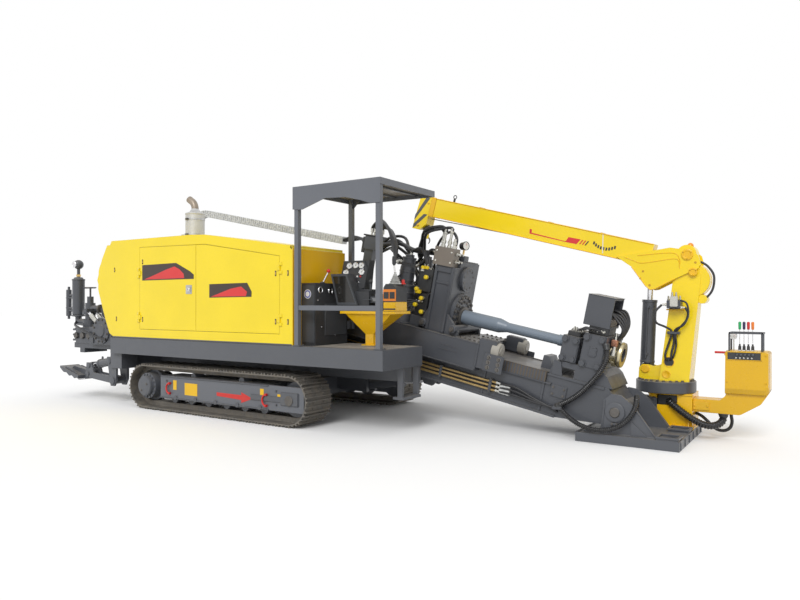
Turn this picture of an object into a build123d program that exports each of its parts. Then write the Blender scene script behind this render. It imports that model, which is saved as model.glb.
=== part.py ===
from build123d import *
import os
from math import atan2, cos, degrees, hypot, pi, radians, sin, tan

# Horizontal directional drill on crawler tracks, in millimetres.
# +X points to the drill's front, where the rod goes into the ground, +Y to the crane's side, +Z up.
# The origin is on the ground, in the middle of the overall length and of the track width.

os.makedirs("parts", exist_ok=True)

LOW = Align.MIN
MID = Align.CENTER
HIGH = Align.MAX

# Clearances
SEAT_GAP = 0.3
RUN_GAP = 6.0
DOOR_GAP = 6.0

# Tracks
TRACK_HALF_WIDTH = 1250.0
SHOE_WIDTH = 450.0
SHOE_PLATE = 14.0
GROUSER = 22.0
GROUSER_WIDTH = 22.0
SHOE_COUNT = 44
TRACK_RADIUS = 305.0
SPROCKET_X = -2330.0
IDLER_X = 260.0
CHAIN_HEIGHT = 62.0
CHAIN_WIDTH = 150.0
SIDE_FRAME_OUT = 1200.0
SIDE_FRAME_IN = 850.0
SIDE_FRAME_BOTTOM = 170.0
SIDE_FRAME_TOP = 462.0
SIDE_FRAME_REAR = -2026.0
SIDE_FRAME_FRONT = 471.0
ROLLER_COUNT = 6
ROLLER_R = 62.0
DRUM_R = 172.0

# Chassis and deck
BEAM_BOTTOM = 500.0
DECK_BOTTOM = 720.0
DECK_TOP = 937.0
DECK_REAR = -3054.0
DECK_FRONT = 1585.0
DECK_INNER = -459.0
HOOD_BASE_INNER = -250.0
WALKWAY_INNER = 720.0
WALKWAY_FRONT = 1100.0
PLATE = 12.0

# Mast frame: its line runs along the drill rod, nose down, at this angle and over this Y
MAST_ANGLE = 11.5
MAST_Y = 270.0
MAST_LINE_Z = 1612.0
MAST_HALF = 300.0
MAST_TOP = -330.0
MAST_BOTTOM = -785.0
MAST_REAR = -3500.0
MAST_FRONT = 3700.0
RACK_TOP = -325.0
RACK_BOTTOM = -440.0
RACK_PROUD = 30.0
MAST_PIVOT_X = -400.0
MAST_PIVOT_Z = 800.0
MAST_PIN_R = 45.0

# Carriage
CARRIAGE_HALF = 430.0
CARRIAGE_REAR = -500.0
CARRIAGE_FRONT = 2235.0
CARRIAGE_TOP = -213.0
CARRIAGE_BOTTOM = -512.0
GEARBOX_REAR = 1437.0
GEARBOX_FRONT = 1700.0
GEARBOX_TOP = 640.0
ROD_R = 57.0
ROD_THICK_R = 85.0
ROD_END = 3200.0
BORE_R = 72.0

# Vise
VISE_REAR = (3125.0, 3310.0)
VISE_FIXED = (3345.0, 3585.0)
BREAKOUT_R = 175.0

# Metal drag hose
HOSE_W = -500.0
HOSE_V = 605.0
HOSE_SIZE = 105.0
HOSE_FRONT = -600.0
HOSE_LOOP = -3540.0
HOSE_LOOP_R = 245.0
HOSE_LOWER = 700.0

# Anchor plate and crane
ANCHOR_PIVOT_X = 3634.0
ANCHOR_PIVOT_Z = 318.0
ANCHOR_REAR = 3245.0
ANCHOR_FRONT = 4262.0
ANCHOR_NEAR = -140.0
ANCHOR_FAR = 1107.0
ANCHOR_THICK = 94.0
CRANE_X = 3936.0
CRANE_Y = 850.0
RING_R = 305.0
RING_BOTTOM = 461.0
RING_TOP = 584.0
BOOM_PIVOT = (4165.0, 1955.0)
BOOM_ANGLE = 14.8
BOOM_HALF = 96.0
BOOM_TOP = 33.0
BOOM_BOTTOM = -215.0
BOOM_WALL = 12.0
BOOM_START = 350.0
BOOM_END = 3270.0
ROOT_PLATE = 20.0
LIFT_BASE = (3735.0, 700.0)
LIFT_TOP = (3775.0, 1655.0)

# Hood
HOOD_NEAR = -1220.0
HOOD_FAR = -250.0
HOOD_WALL = 30.0
HOOD_FRONT = 323.0

# Canopy
CANOPY_REAR = 347.0
CANOPY_FRONT = 1552.0
CANOPY_NEAR = -1250.0
CANOPY_FAR = -121.0
CANOPY_TOP = 2740.0
POST = 55.0


def mast_plane(w):
    """The upright plane along the mast, w to the near side of its middle."""
    slope = radians(MAST_ANGLE)
    return Plane(
        origin=(0, MAST_Y - w, MAST_LINE_Z),
        x_dir=(cos(slope), 0, -sin(slope)),
        z_dir=(0, -1, 0),
    )


def mast_point(u, v, w=0.0):
    """A point u along the mast line, v above it and w to its near side."""
    slope = radians(MAST_ANGLE)
    return (
        u * cos(slope) + v * sin(slope),
        MAST_Y - w,
        MAST_LINE_Z - u * sin(slope) + v * cos(slope),
    )


def mast_uv(x, z):
    """Where a point seen from the side lies in the mast's u and v."""
    slope = radians(MAST_ANGLE)
    return (x * cos(slope) - (z - MAST_LINE_Z) * sin(slope), x * sin(slope) + (z - MAST_LINE_Z) * cos(slope))


def side_plane(y):
    """The upright plane along X at this Y, with X to the right, Z up, and extruded towards -Y."""
    return Plane(origin=(0, y, 0), x_dir=(1, 0, 0), z_dir=(0, -1, 0))


def prism(plane, outline, depth, mode=Mode.ADD):
    """An outline of straight lines on a plane, extruded along the plane's normal."""
    with BuildSketch(plane) as face:
        with BuildLine():
            Polyline(*outline, close=True)
        make_face()
    extrude(face.sketch, amount=depth, mode=mode)


def block(x, y, z, mode=Mode.ADD):
    """A box between two values on each axis."""
    with Locations((x[0], y[0], z[0])):
        Box(x[1] - x[0], y[1] - y[0], z[1] - z[0], align=(LOW, LOW, LOW), mode=mode)


def mast_block(u, v, w, mode=Mode.ADD):
    """A box between two values of u, v and w."""
    prism(mast_plane(w[0]), [(u[0], v[0]), (u[1], v[0]), (u[1], v[1]), (u[0], v[1])], w[1] - w[0], mode)


def bar(start, end, radius, mode=Mode.ADD):
    """A round bar from one point to another."""
    run = Vector(*end) - Vector(*start)
    with BuildSketch(Plane(origin=start, z_dir=run)) as face:
        Circle(radius)
    extrude(face.sketch, amount=run.length, mode=mode)


def cross_pin(x, z, y, radius, mode=Mode.ADD):
    """A round bar along Y between two values of Y."""
    bar((x, y[0], z), (x, y[1], z), radius, mode)


def mast_pin(u, v, w, radius, mode=Mode.ADD):
    """A round bar across the mast between two values of w."""
    bar(mast_point(u, v, w[0]), mast_point(u, v, w[1]), radius, mode)


def mast_bar(u, v, w, radius, mode=Mode.ADD):
    """A round bar along the mast between two values of u."""
    bar(mast_point(u[0], v, w), mast_point(u[1], v, w), radius, mode)


def finish(builder, name):
    """Label a finished piece and write it."""
    builder.part.label = name
    export_step(builder.part, f"parts/{name}.step")


def track_side(side):
    """Y of the track's outer and inner edge on this side, -1 near and +1 far, in rising order."""
    edges = (side * TRACK_HALF_WIDTH, side * (TRACK_HALF_WIDTH - SHOE_WIDTH))
    return (min(edges), max(edges))


SIDES = (("left", -1), ("right", 1))

# Tracks: one loop a side, its shoes and grousers in the outline, with the link chain inside
track_run = IDLER_X - SPROCKET_X
plate_r = TRACK_RADIUS - GROUSER
inner_r = plate_r - SHOE_PLATE
loop_length = 2 * track_run + 2 * pi * plate_r
shoe_pitch = loop_length / SHOE_COUNT


def loop_point(distance, height):
    """A point this far along the loop and this high over the plates' outer face."""
    radius = plate_r + height
    arc = pi * plate_r
    s = distance % loop_length
    if s < track_run:
        return (SPROCKET_X + s, TRACK_RADIUS + radius)
    if s < track_run + arc:
        turn = (s - track_run) / plate_r
        return (IDLER_X + radius * sin(turn), TRACK_RADIUS + radius * cos(turn))
    if s < 2 * track_run + arc:
        return (IDLER_X - (s - track_run - arc), TRACK_RADIUS - radius)
    turn = (s - 2 * track_run - arc) / plate_r
    return (SPROCKET_X - radius * sin(turn), TRACK_RADIUS - radius * cos(turn))


# Grousers of one shoe: share of the pitch, height as a share of the tallest
GROUSERS = ((0.14, 1.0), (0.5, 0.6), (0.86, 1.0))
shoe_outline = []
for shoe in range(SHOE_COUNT):
    for share, rise in GROUSERS:
        middle = (shoe + share) * shoe_pitch
        for shift, height in ((-0.5, 0.0), (-0.28, 1.0), (0.28, 1.0), (0.5, 0.0)):
            shoe_outline.append(loop_point(middle + shift * GROUSER_WIDTH, height * rise * GROUSER))

for name, side in SIDES:
    y_low, y_high = track_side(side)
    track_mid = (y_low + y_high) / 2
    with BuildPart() as track:
        with BuildSketch(side_plane(y_high)) as shoes:
            with BuildLine():
                Polyline(*shoe_outline, close=True)
            make_face()
            with Locations(((SPROCKET_X + IDLER_X) / 2, TRACK_RADIUS)):
                SlotCenterToCenter(track_run, 2 * inner_r, mode=Mode.SUBTRACT)
        extrude(amount=SHOE_WIDTH)
        with BuildSketch(side_plane(track_mid + CHAIN_WIDTH / 2)) as chain:
            with Locations(((SPROCKET_X + IDLER_X) / 2, TRACK_RADIUS)):
                SlotCenterToCenter(track_run, 2 * inner_r + SHOE_PLATE / 2)
                SlotCenterToCenter(track_run, 2 * (inner_r - CHAIN_HEIGHT), mode=Mode.SUBTRACT)
        extrude(amount=CHAIN_WIDTH)
    finish(track, f"track_{name}")

# Track frames: a side beam a side, with its rollers, final drive, idler and fork
wheel_r = inner_r - CHAIN_HEIGHT - SEAT_GAP
rail_top = TRACK_RADIUS - inner_r + CHAIN_HEIGHT
rail_bottom = TRACK_RADIUS + inner_r - CHAIN_HEIGHT
for name, side in SIDES:
    outer = side * SIDE_FRAME_OUT
    inner = side * SIDE_FRAME_IN
    y_pair = (min(outer, inner), max(outer, inner))
    y_low, y_high = track_side(side)
    track_mid = (y_low + y_high) / 2
    chain_pair = (track_mid - CHAIN_WIDTH / 2, track_mid + CHAIN_WIDTH / 2)
    fork_x = IDLER_X - 330
    with BuildPart() as side_frame:
        block((SIDE_FRAME_REAR, fork_x), y_pair, (SIDE_FRAME_BOTTOM, SIDE_FRAME_TOP))
        for y_face in (outer, inner):
            cheek = (min(y_face, y_face - side * 40), max(y_face, y_face - side * 40))
            if y_face == inner:
                cheek = (min(y_face, y_face + side * 40), max(y_face, y_face + side * 40))
            block((fork_x, SIDE_FRAME_FRONT), cheek, (SIDE_FRAME_BOTTOM, SIDE_FRAME_TOP))
        spread = (fork_x - SIDE_FRAME_REAR) / ROLLER_COUNT
        for index in range(ROLLER_COUNT):
            roller_x = SIDE_FRAME_REAR + spread * (index + 0.5)
            roller_z = rail_top + SEAT_GAP + ROLLER_R
            cross_pin(roller_x, roller_z, chain_pair, ROLLER_R)
        for carrier_x in (-1500.0, -620.0):
            carrier_z = rail_bottom - SEAT_GAP - 45
            cross_pin(carrier_x, carrier_z, chain_pair, 45)
            block((carrier_x - 40, carrier_x + 40), chain_pair, (SIDE_FRAME_TOP - 5, carrier_z))
        # Final drive with its sprocket on the frame's rear mount, and the idler in the fork
        mount = sorted((inner, inner + side * 40))
        block((SPROCKET_X - 40, SIDE_FRAME_REAR + 5), mount, (SIDE_FRAME_BOTTOM + 30, SIDE_FRAME_TOP - 30))
        cross_pin(SPROCKET_X, TRACK_RADIUS, (track_mid - 35, track_mid + 35), wheel_r)
        cross_pin(SPROCKET_X, TRACK_RADIUS, sorted((inner, side * (SIDE_FRAME_OUT - 20))), DRUM_R)
        cross_pin(SPROCKET_X, TRACK_RADIUS, sorted((side * (SIDE_FRAME_OUT - 25), side * (SIDE_FRAME_OUT + 25))),
                  DRUM_R - 37)
        cross_pin(SPROCKET_X, TRACK_RADIUS, sorted((inner + side * 5, inner - side * 220)), DRUM_R - 62)
        cross_pin(IDLER_X, TRACK_RADIUS, (track_mid - 55, track_mid + 55), wheel_r)
        cross_pin(IDLER_X, TRACK_RADIUS, sorted((inner, outer)), 60)
    finish(side_frame, f"track_frame_{name}")

# Chassis: cross beams between the track frames, long beams, mast saddle and rear brackets
NEAR_BEAM = (-470.0, -270.0)
FAR_BEAM = (600.0, 790.0)
CROSS_BEAMS = (-1650.0, -250.0)
ARM_Y = 1050.0
ARM_PIVOT = (-3148.0, 314.0)
ARM_END = (-3800.0, 372.0)
RAM_BASE = (-3225.0, 590.0)
RAM_EYE = (-3765.0, 500.0)
RAM_SPLIT = 20.0
CYLINDER_BASE = (250.0, 340.0)
CYLINDER_EYE = (1300.0, 480.0)
LUG_HALF = 60.0
with BuildPart() as chassis:
    for beam_x in CROSS_BEAMS:
        block((beam_x - 130, beam_x + 130), (-SIDE_FRAME_IN + SEAT_GAP, SIDE_FRAME_IN - SEAT_GAP), (220, 440))
        block((beam_x - 130, beam_x + 130), NEAR_BEAM, (400, DECK_BOTTOM - SEAT_GAP))
        block((beam_x - 130, beam_x + 130), FAR_BEAM, (430, DECK_BOTTOM - SEAT_GAP))
    block((DECK_REAR, 1450), NEAR_BEAM, (BEAM_BOTTOM + 20, DECK_BOTTOM - SEAT_GAP))
    block((DECK_REAR, 1000), FAR_BEAM, (BEAM_BOTTOM + 20, DECK_BOTTOM - SEAT_GAP))
    block((-2950, -2750), (NEAR_BEAM[0], FAR_BEAM[1]), (BEAM_BOTTOM + 20, DECK_BOTTOM - SEAT_GAP))
    block((-700, -500), (NEAR_BEAM[0], FAR_BEAM[1]), (BEAM_BOTTOM + 20, DECK_BOTTOM - 60))
    # Saddle ears on both sides of the mast's lug
    for ear in ((MAST_Y - LUG_HALF - RUN_GAP - 50, MAST_Y - LUG_HALF - RUN_GAP),
                (MAST_Y + LUG_HALF + RUN_GAP, MAST_Y + LUG_HALF + RUN_GAP + 50)):
        prism(side_plane(ear[1]), [(-640, BEAM_BOTTOM + 30), (-160, BEAM_BOTTOM + 30),
                                   (-330, MAST_PIVOT_Z + 60), (-470, MAST_PIVOT_Z + 60)], ear[1] - ear[0])
        prism(side_plane(ear[1]), [(-700, 300), (370, 260), (370, 420), (-100, 540), (-700, 540)],
              ear[1] - ear[0])
    cross_pin(MAST_PIVOT_X, MAST_PIVOT_Z, (MAST_Y - LUG_HALF - RUN_GAP - 50, MAST_Y + LUG_HALF + RUN_GAP + 50),
              MAST_PIN_R)
    cross_pin(CYLINDER_BASE[0], CYLINDER_BASE[1],
              (MAST_Y - LUG_HALF - RUN_GAP - 50, MAST_Y + LUG_HALF + RUN_GAP + 50), 30)
    # Rear outrigger brackets: a box under the deck's corner, with two cheeks down to the arm's pivot
    for name, side in SIDES:
        box_pair = sorted((side * (ARM_Y - 130), side * (ARM_Y + 130)))
        block((-3155, -2900), box_pair, (BEAM_BOTTOM, DECK_BOTTOM - SEAT_GAP))
        inner_pair = sorted((side * (ARM_Y - 130), side * 450))
        block((-3150, -2950), inner_pair, (BEAM_BOTTOM + 20, DECK_BOTTOM - SEAT_GAP))
        for cheek in (-1, 1):
            mid = side * ARM_Y + cheek * 90
            prism(side_plane(mid + 15), [(-3280, 650), (-3060, 650), (-3060, 330), (-3110, 240), (-3190, 240),
                                         (-3210, 330)], 30)
        cross_pin(ARM_PIVOT[0], ARM_PIVOT[1], sorted((side * ARM_Y - 105, side * ARM_Y + 105)), 28)
        cross_pin(RAM_BASE[0], RAM_BASE[1], sorted((side * ARM_Y - 105, side * ARM_Y + 105)), 24)
finish(chassis, "chassis_frame")

# Deck: near platform under hood and operator, far walkway, skirts and cross beam
with BuildPart() as deck:
    block((DECK_REAR, DECK_FRONT), (-TRACK_HALF_WIDTH, DECK_INNER), (DECK_TOP - PLATE, DECK_TOP))
    block((DECK_REAR, HOOD_FRONT), (DECK_INNER, HOOD_BASE_INNER), (DECK_TOP - PLATE, DECK_TOP))
    block((DECK_REAR, DECK_FRONT), (-TRACK_HALF_WIDTH, -TRACK_HALF_WIDTH + PLATE), (DECK_BOTTOM, DECK_TOP))
    block((DECK_REAR, DECK_FRONT), (-TRACK_HALF_WIDTH, -TRACK_HALF_WIDTH + 60), (DECK_BOTTOM, DECK_BOTTOM + PLATE))
    block((DECK_FRONT - PLATE, DECK_FRONT), (-TRACK_HALF_WIDTH, DECK_INNER), (DECK_BOTTOM, DECK_TOP))
    block((DECK_REAR, DECK_REAR + PLATE), (-TRACK_HALF_WIDTH, HOOD_BASE_INNER), (DECK_BOTTOM, DECK_TOP))
    block((HOOD_FRONT, DECK_FRONT), (DECK_INNER - PLATE, DECK_INNER), (DECK_BOTTOM, DECK_TOP))
    block((DECK_REAR, HOOD_FRONT), (HOOD_BASE_INNER - PLATE, HOOD_BASE_INNER), (DECK_BOTTOM, DECK_TOP))
    for rib_x in (-2300.0, -1550.0, -800.0, -50.0, 700.0, 1250.0):
        block((rib_x, rib_x + PLATE), (-TRACK_HALF_WIDTH, DECK_INNER), (DECK_BOTTOM, DECK_TOP))
    # Far walkway
    block((DECK_REAR, WALKWAY_FRONT), (WALKWAY_INNER, TRACK_HALF_WIDTH), (DECK_TOP - PLATE, DECK_TOP))
    block((DECK_REAR, WALKWAY_FRONT), (TRACK_HALF_WIDTH - PLATE, TRACK_HALF_WIDTH), (DECK_BOTTOM, DECK_TOP))
    block((DECK_REAR, WALKWAY_FRONT), (WALKWAY_INNER, WALKWAY_INNER + PLATE), (DECK_BOTTOM, DECK_TOP))
    for rib_x in (DECK_REAR, -1900.0, -800.0, 200.0, WALKWAY_FRONT - PLATE):
        block((rib_x, rib_x + PLATE), (WALKWAY_INNER, TRACK_HALF_WIDTH), (DECK_BOTTOM, DECK_TOP))
    # Rear cross member joining both sides
    block((DECK_REAR, DECK_REAR + 60), (HOOD_BASE_INNER, WALKWAY_INNER), (DECK_BOTTOM, DECK_TOP - 60))
    # Boarding step hung under the front edge
    for step_y in (-800.0, -480.0):
        prism(side_plane(step_y), [(1500, 780), (1574, 780), (1574, DECK_BOTTOM), (1560, 400), (1500, 400)], 40)
    block((1440, 1580), (-840, -480), (370, 400))
finish(deck, "deck")

# Hood: a hollow shell with two door openings on its near side
HOOD_SIDE = [(-3097, DECK_TOP), (HOOD_FRONT, DECK_TOP), (HOOD_FRONT, 2083), (-1140, 2285), (-1400, 2298),
             (-3143, 2295), (-3330, 2000), (-3405, 1824), (-3417, 1680), (-3249, 1251)]
DOOR_LINE = -1310.0
DOOR_REAR_OUT = [(-2444, 1066), (DOOR_LINE, 1066), (DOOR_LINE, 2165), (-2444, 2180)]
DOOR_FRONT_OUT = [(DOOR_LINE, 1066), (123, 1066), (123, 1972), (-1140, 2162), (DOOR_LINE, 2165)]

# X of each door's hinge line, and on which side of it the door lies
DOOR_HINGES = ((-2447.0, 1), (126.0, -1))
HINGE_HEIGHTS = (1200.0, 1800.0)
HINGE_R = 9.0
HINGE_Y = HOOD_NEAR - HINGE_R - SEAT_GAP

with BuildPart() as hood:
    with BuildSketch(side_plane(HOOD_FAR)) as hood_face:
        with BuildLine():
            Polyline(*HOOD_SIDE, close=True)
        make_face()
    extrude(amount=HOOD_FAR - HOOD_NEAR)
    with BuildSketch(side_plane(HOOD_FAR - HOOD_WALL)) as hollow:
        with BuildLine():
            Polyline(*HOOD_SIDE, close=True)
        make_face()
        offset(amount=-HOOD_WALL, mode=Mode.REPLACE)
    extrude(amount=HOOD_FAR - HOOD_NEAR - 2 * HOOD_WALL, mode=Mode.SUBTRACT)
    block((-3000, 250), (HOOD_NEAR + 100, HOOD_FAR - 100), (DECK_TOP - 1, DECK_TOP + HOOD_WALL + 1),
          Mode.SUBTRACT)
    prism(side_plane(HOOD_NEAR + HOOD_WALL + 1), DOOR_REAR_OUT, HOOD_WALL + 2, Mode.SUBTRACT)
    prism(side_plane(HOOD_NEAR + HOOD_WALL + 1), DOOR_FRONT_OUT, HOOD_WALL + 2, Mode.SUBTRACT)
    # Hinge knuckles of both doors, one below and one above each door's own
    for hinge_x, leaf in DOOR_HINGES:
        for hinge_z in HINGE_HEIGHTS:
            for low in (hinge_z - 40 - SEAT_GAP, hinge_z + 60 + SEAT_GAP):
                bar((hinge_x, HINGE_Y, low), (hinge_x, HINGE_Y, low + 40), HINGE_R)
                block(sorted((hinge_x, hinge_x - leaf * 34)), (HINGE_Y - 3, HOOD_NEAR + 1), (low, low + 40))
finish(hood, "hood_shell")

for name, outline, hinge in (("hood_door_rear", DOOR_REAR_OUT, DOOR_HINGES[0]),
                             ("hood_door_front", DOOR_FRONT_OUT, DOOR_HINGES[1])):
    hinge_x, leaf = hinge
    with BuildPart() as door:
        with BuildSketch(side_plane(HOOD_NEAR + HOOD_WALL)):
            with BuildLine():
                Polyline(*outline, close=True)
            make_face()
            offset(amount=-DOOR_GAP / 2, mode=Mode.REPLACE)
        extrude(amount=HOOD_WALL)
        for hinge_z in HINGE_HEIGHTS:
            bar((hinge_x, HINGE_Y, hinge_z), (hinge_x, HINGE_Y, hinge_z + 60), HINGE_R)
            block(sorted((hinge_x, hinge_x + leaf * 34)), (HINGE_Y - 3, HOOD_NEAR - SEAT_GAP), (hinge_z, hinge_z + 60))
            block(sorted((hinge_x + leaf * 9, hinge_x + leaf * 34)), (HINGE_Y, HOOD_NEAR + 1), (hinge_z, hinge_z + 60))
    finish(door, name)

# Engine: one plain block in the hood
with BuildPart() as engine:
    block((-2600, -900), (-1080, -420), (DECK_TOP + 80, 1950))
    for foot_x in (-2400.0, -1200.0):
        block((foot_x, foot_x + 120), (-1000, -500), (DECK_TOP + SEAT_GAP, DECK_TOP + 81))
finish(engine, "engine_block")

# Silencer on the hood's top, with its bent tail pipe
SILENCER = (-2200.0, -480.0)
hood_roof = 2297.0
with BuildPart() as silencer:
    with BuildSketch(Plane.XY.offset(hood_roof + SEAT_GAP)) as muffler:
        with Locations(SILENCER):
            Circle(125)
    extrude(amount=330)
    bar((SILENCER[0], SILENCER[1], hood_roof + 330), (SILENCER[0], SILENCER[1], hood_roof + 420), 50)
finish(silencer, "exhaust_silencer")

# Canopy roof: a plate with a scalloped near fascia and thin lips elsewhere
FASCIA = [(CANOPY_REAR, CANOPY_TOP), (CANOPY_REAR, 2486), (488, 2476), (820, 2578), (1095, 2566), (1295, 2518),
          (1425, 2476), (CANOPY_FRONT, 2476), (CANOPY_FRONT, CANOPY_TOP)]
LIP = 70.0
SHEET = 8.0
with BuildPart() as canopy:
    block((CANOPY_REAR, CANOPY_FRONT), (CANOPY_NEAR, CANOPY_FAR), (CANOPY_TOP - SHEET, CANOPY_TOP))
    prism(side_plane(CANOPY_NEAR + SHEET), FASCIA, SHEET)
    block((CANOPY_REAR, CANOPY_REAR + SHEET), (CANOPY_NEAR, CANOPY_FAR), (CANOPY_TOP - LIP, CANOPY_TOP))
    block((CANOPY_FRONT - SHEET, CANOPY_FRONT), (CANOPY_NEAR, CANOPY_FAR), (CANOPY_TOP - LIP, CANOPY_TOP))
    block((CANOPY_REAR, CANOPY_FRONT), (CANOPY_FAR - SHEET, CANOPY_FAR), (CANOPY_TOP - LIP, CANOPY_TOP))
finish(canopy, "canopy_roof")

# Canopy frame: three posts and the near rail
post_top = CANOPY_TOP - SHEET - SEAT_GAP
POSTS = ((365.0 + POST / 2, -1213.0), (1516.0, -1213.0), (365.0 + POST / 2, -205.0))
with BuildPart() as canopy_frame:
    for post_x, post_y in POSTS[:2]:
        block((post_x - POST / 2, post_x + POST / 2), (post_y - POST / 2, post_y + POST / 2),
              (DECK_TOP + SEAT_GAP, post_top))
    block((POSTS[0][0], POSTS[1][0]), (POSTS[0][1] - 20, POSTS[0][1] + 20), (1345, 1400))
    far_x, far_y = POSTS[2]
    block((far_x - POST / 2, far_x + POST / 2), (far_y - POST / 2, far_y + POST / 2), (1100, post_top))
    block((HOOD_FRONT + SEAT_GAP, far_x), (HOOD_FAR + SEAT_GAP - 80, far_y + POST / 2), (1100, 1200))
finish(canopy_frame, "canopy_frame")


def cross_plane(x):
    """The upright plane across the drill at this X, with Y to the right and Z up, extruded towards +X."""
    return Plane(origin=(x, 0, 0), x_dir=(0, 1, 0), z_dir=(1, 0, 0))


def mast_deck(v):
    """The plane along the mast at this v, with u to the right, -w up, and extruded away from the mast."""
    slope = radians(MAST_ANGLE)
    return Plane(origin=mast_point(0, v), x_dir=(cos(slope), 0, -sin(slope)), z_dir=(sin(slope), 0, cos(slope)))


def boom_plane(y):
    """The upright plane along the boom, its first axis from the pivot to the boom's head, extruded to +Y."""
    slope = radians(BOOM_ANGLE)
    return Plane(origin=(BOOM_PIVOT[0], y, BOOM_PIVOT[1]), x_dir=(-cos(slope), 0, sin(slope)), z_dir=(0, 1, 0))


def ram(name, base, eye, y, barrel_r, rod_r, tube_end, pins, half):
    """A cylinder between two pins in the plane at y: its barrel and its rod as two pieces."""
    reach = hypot(eye[0] - base[0], eye[1] - base[1])
    step = ((eye[0] - base[0]) / reach, (eye[1] - base[1]) / reach)

    def along(distance):
        return (base[0] + step[0] * distance, y, base[1] + step[1] * distance)

    base_pin, eye_pin = pins
    base_eye_r = barrel_r * 0.85
    rod_eye_r = eye_pin + 28
    with BuildPart() as barrel:
        bar(along(0), along(tube_end), barrel_r)
        cross_pin(*base, (y - barrel_r - 1, y + barrel_r + 1), base_eye_r * 1.15, Mode.SUBTRACT)
        cross_pin(*base, (y - half, y + half), base_eye_r)
        bar(along(base_eye_r * 0.5), along(base_eye_r * 1.5), half * 0.9)
        bar(along(base_eye_r + 40), along(tube_end + 1), rod_r + SEAT_GAP, Mode.SUBTRACT)
        cross_pin(*base, (y - half - 1, y + half + 1), base_pin + SEAT_GAP, Mode.SUBTRACT)
    finish(barrel, f"{name[0]}_barrel{name[1]}")
    with BuildPart() as rod:
        bar(along(base_eye_r + 60), along(reach - rod_eye_r * 0.5), rod_r)
        cross_pin(*eye, (y - half, y + half), rod_eye_r)
        cross_pin(*eye, (y - half - 1, y + half + 1), eye_pin + RUN_GAP, Mode.SUBTRACT)
    finish(rod, f"{name[0]}_rod{name[1]}")


# Operator's place: a flat cabinet on the hood's front, and a console head on its pedestal
CABINET_X = (HOOD_FRONT + SEAT_GAP, 528.0)
CABINET_Y = (-1069.0, -470.0)
CABINET_TOP = 1657.0
PEDESTAL_TOP = 1334.0
PEDESTAL_X = (675.0, 1441.0)
PEDESTAL_Y = (-800.0, -480.0)
with BuildPart() as console:
    block(CABINET_X, CABINET_Y, (DECK_TOP + SEAT_GAP, CABINET_TOP))
    head_z = PEDESTAL_TOP + SEAT_GAP
    block((690, 1060), (-760, -500), (head_z, 1560))
    prism(side_plane(-660), [(545, 1764), (772, 1764), (930, 1404), (640, 1404)], 130)
    prism(cross_plane(540), [(-665, 1540), (-510, 1540), (-450, 1930), (-550, 1930)], 380)
    block((1050, 1290), (-780, -520), (head_z, 1400))
    prism(side_plane(-550), [(1280, head_z), (1436, head_z), (1436, 1600), (1400, 1640), (1310, 1640),
                             (1280, 1600)], 240)
finish(console, "operator_console")

with BuildPart() as pedestal:
    block(PEDESTAL_X, PEDESTAL_Y, (PEDESTAL_TOP - 30, PEDESTAL_TOP))
    pedestal_mid = ((PEDESTAL_Y[0] + PEDESTAL_Y[1]) / 2)
    with BuildSketch(Plane.XY.offset(PEDESTAL_TOP - 30)) as wide:
        with Locations(((PEDESTAL_X[0] + PEDESTAL_X[1]) / 2, pedestal_mid)):
            Rectangle(640, 280)
    with BuildSketch(Plane.XY.offset(1070)) as narrow:
        with Locations((1020, pedestal_mid)):
            Rectangle(110, 110)
    loft(sections=[narrow.sketch, wide.sketch], ruled=True)
    block((965, 1075), (pedestal_mid - 55, pedestal_mid + 55), (DECK_TOP + SEAT_GAP, 1071))
    block((930, 1110), (pedestal_mid - 90, pedestal_mid + 90), (DECK_TOP + SEAT_GAP, DECK_TOP + 14))
finish(pedestal, "operator_pedestal")

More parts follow.
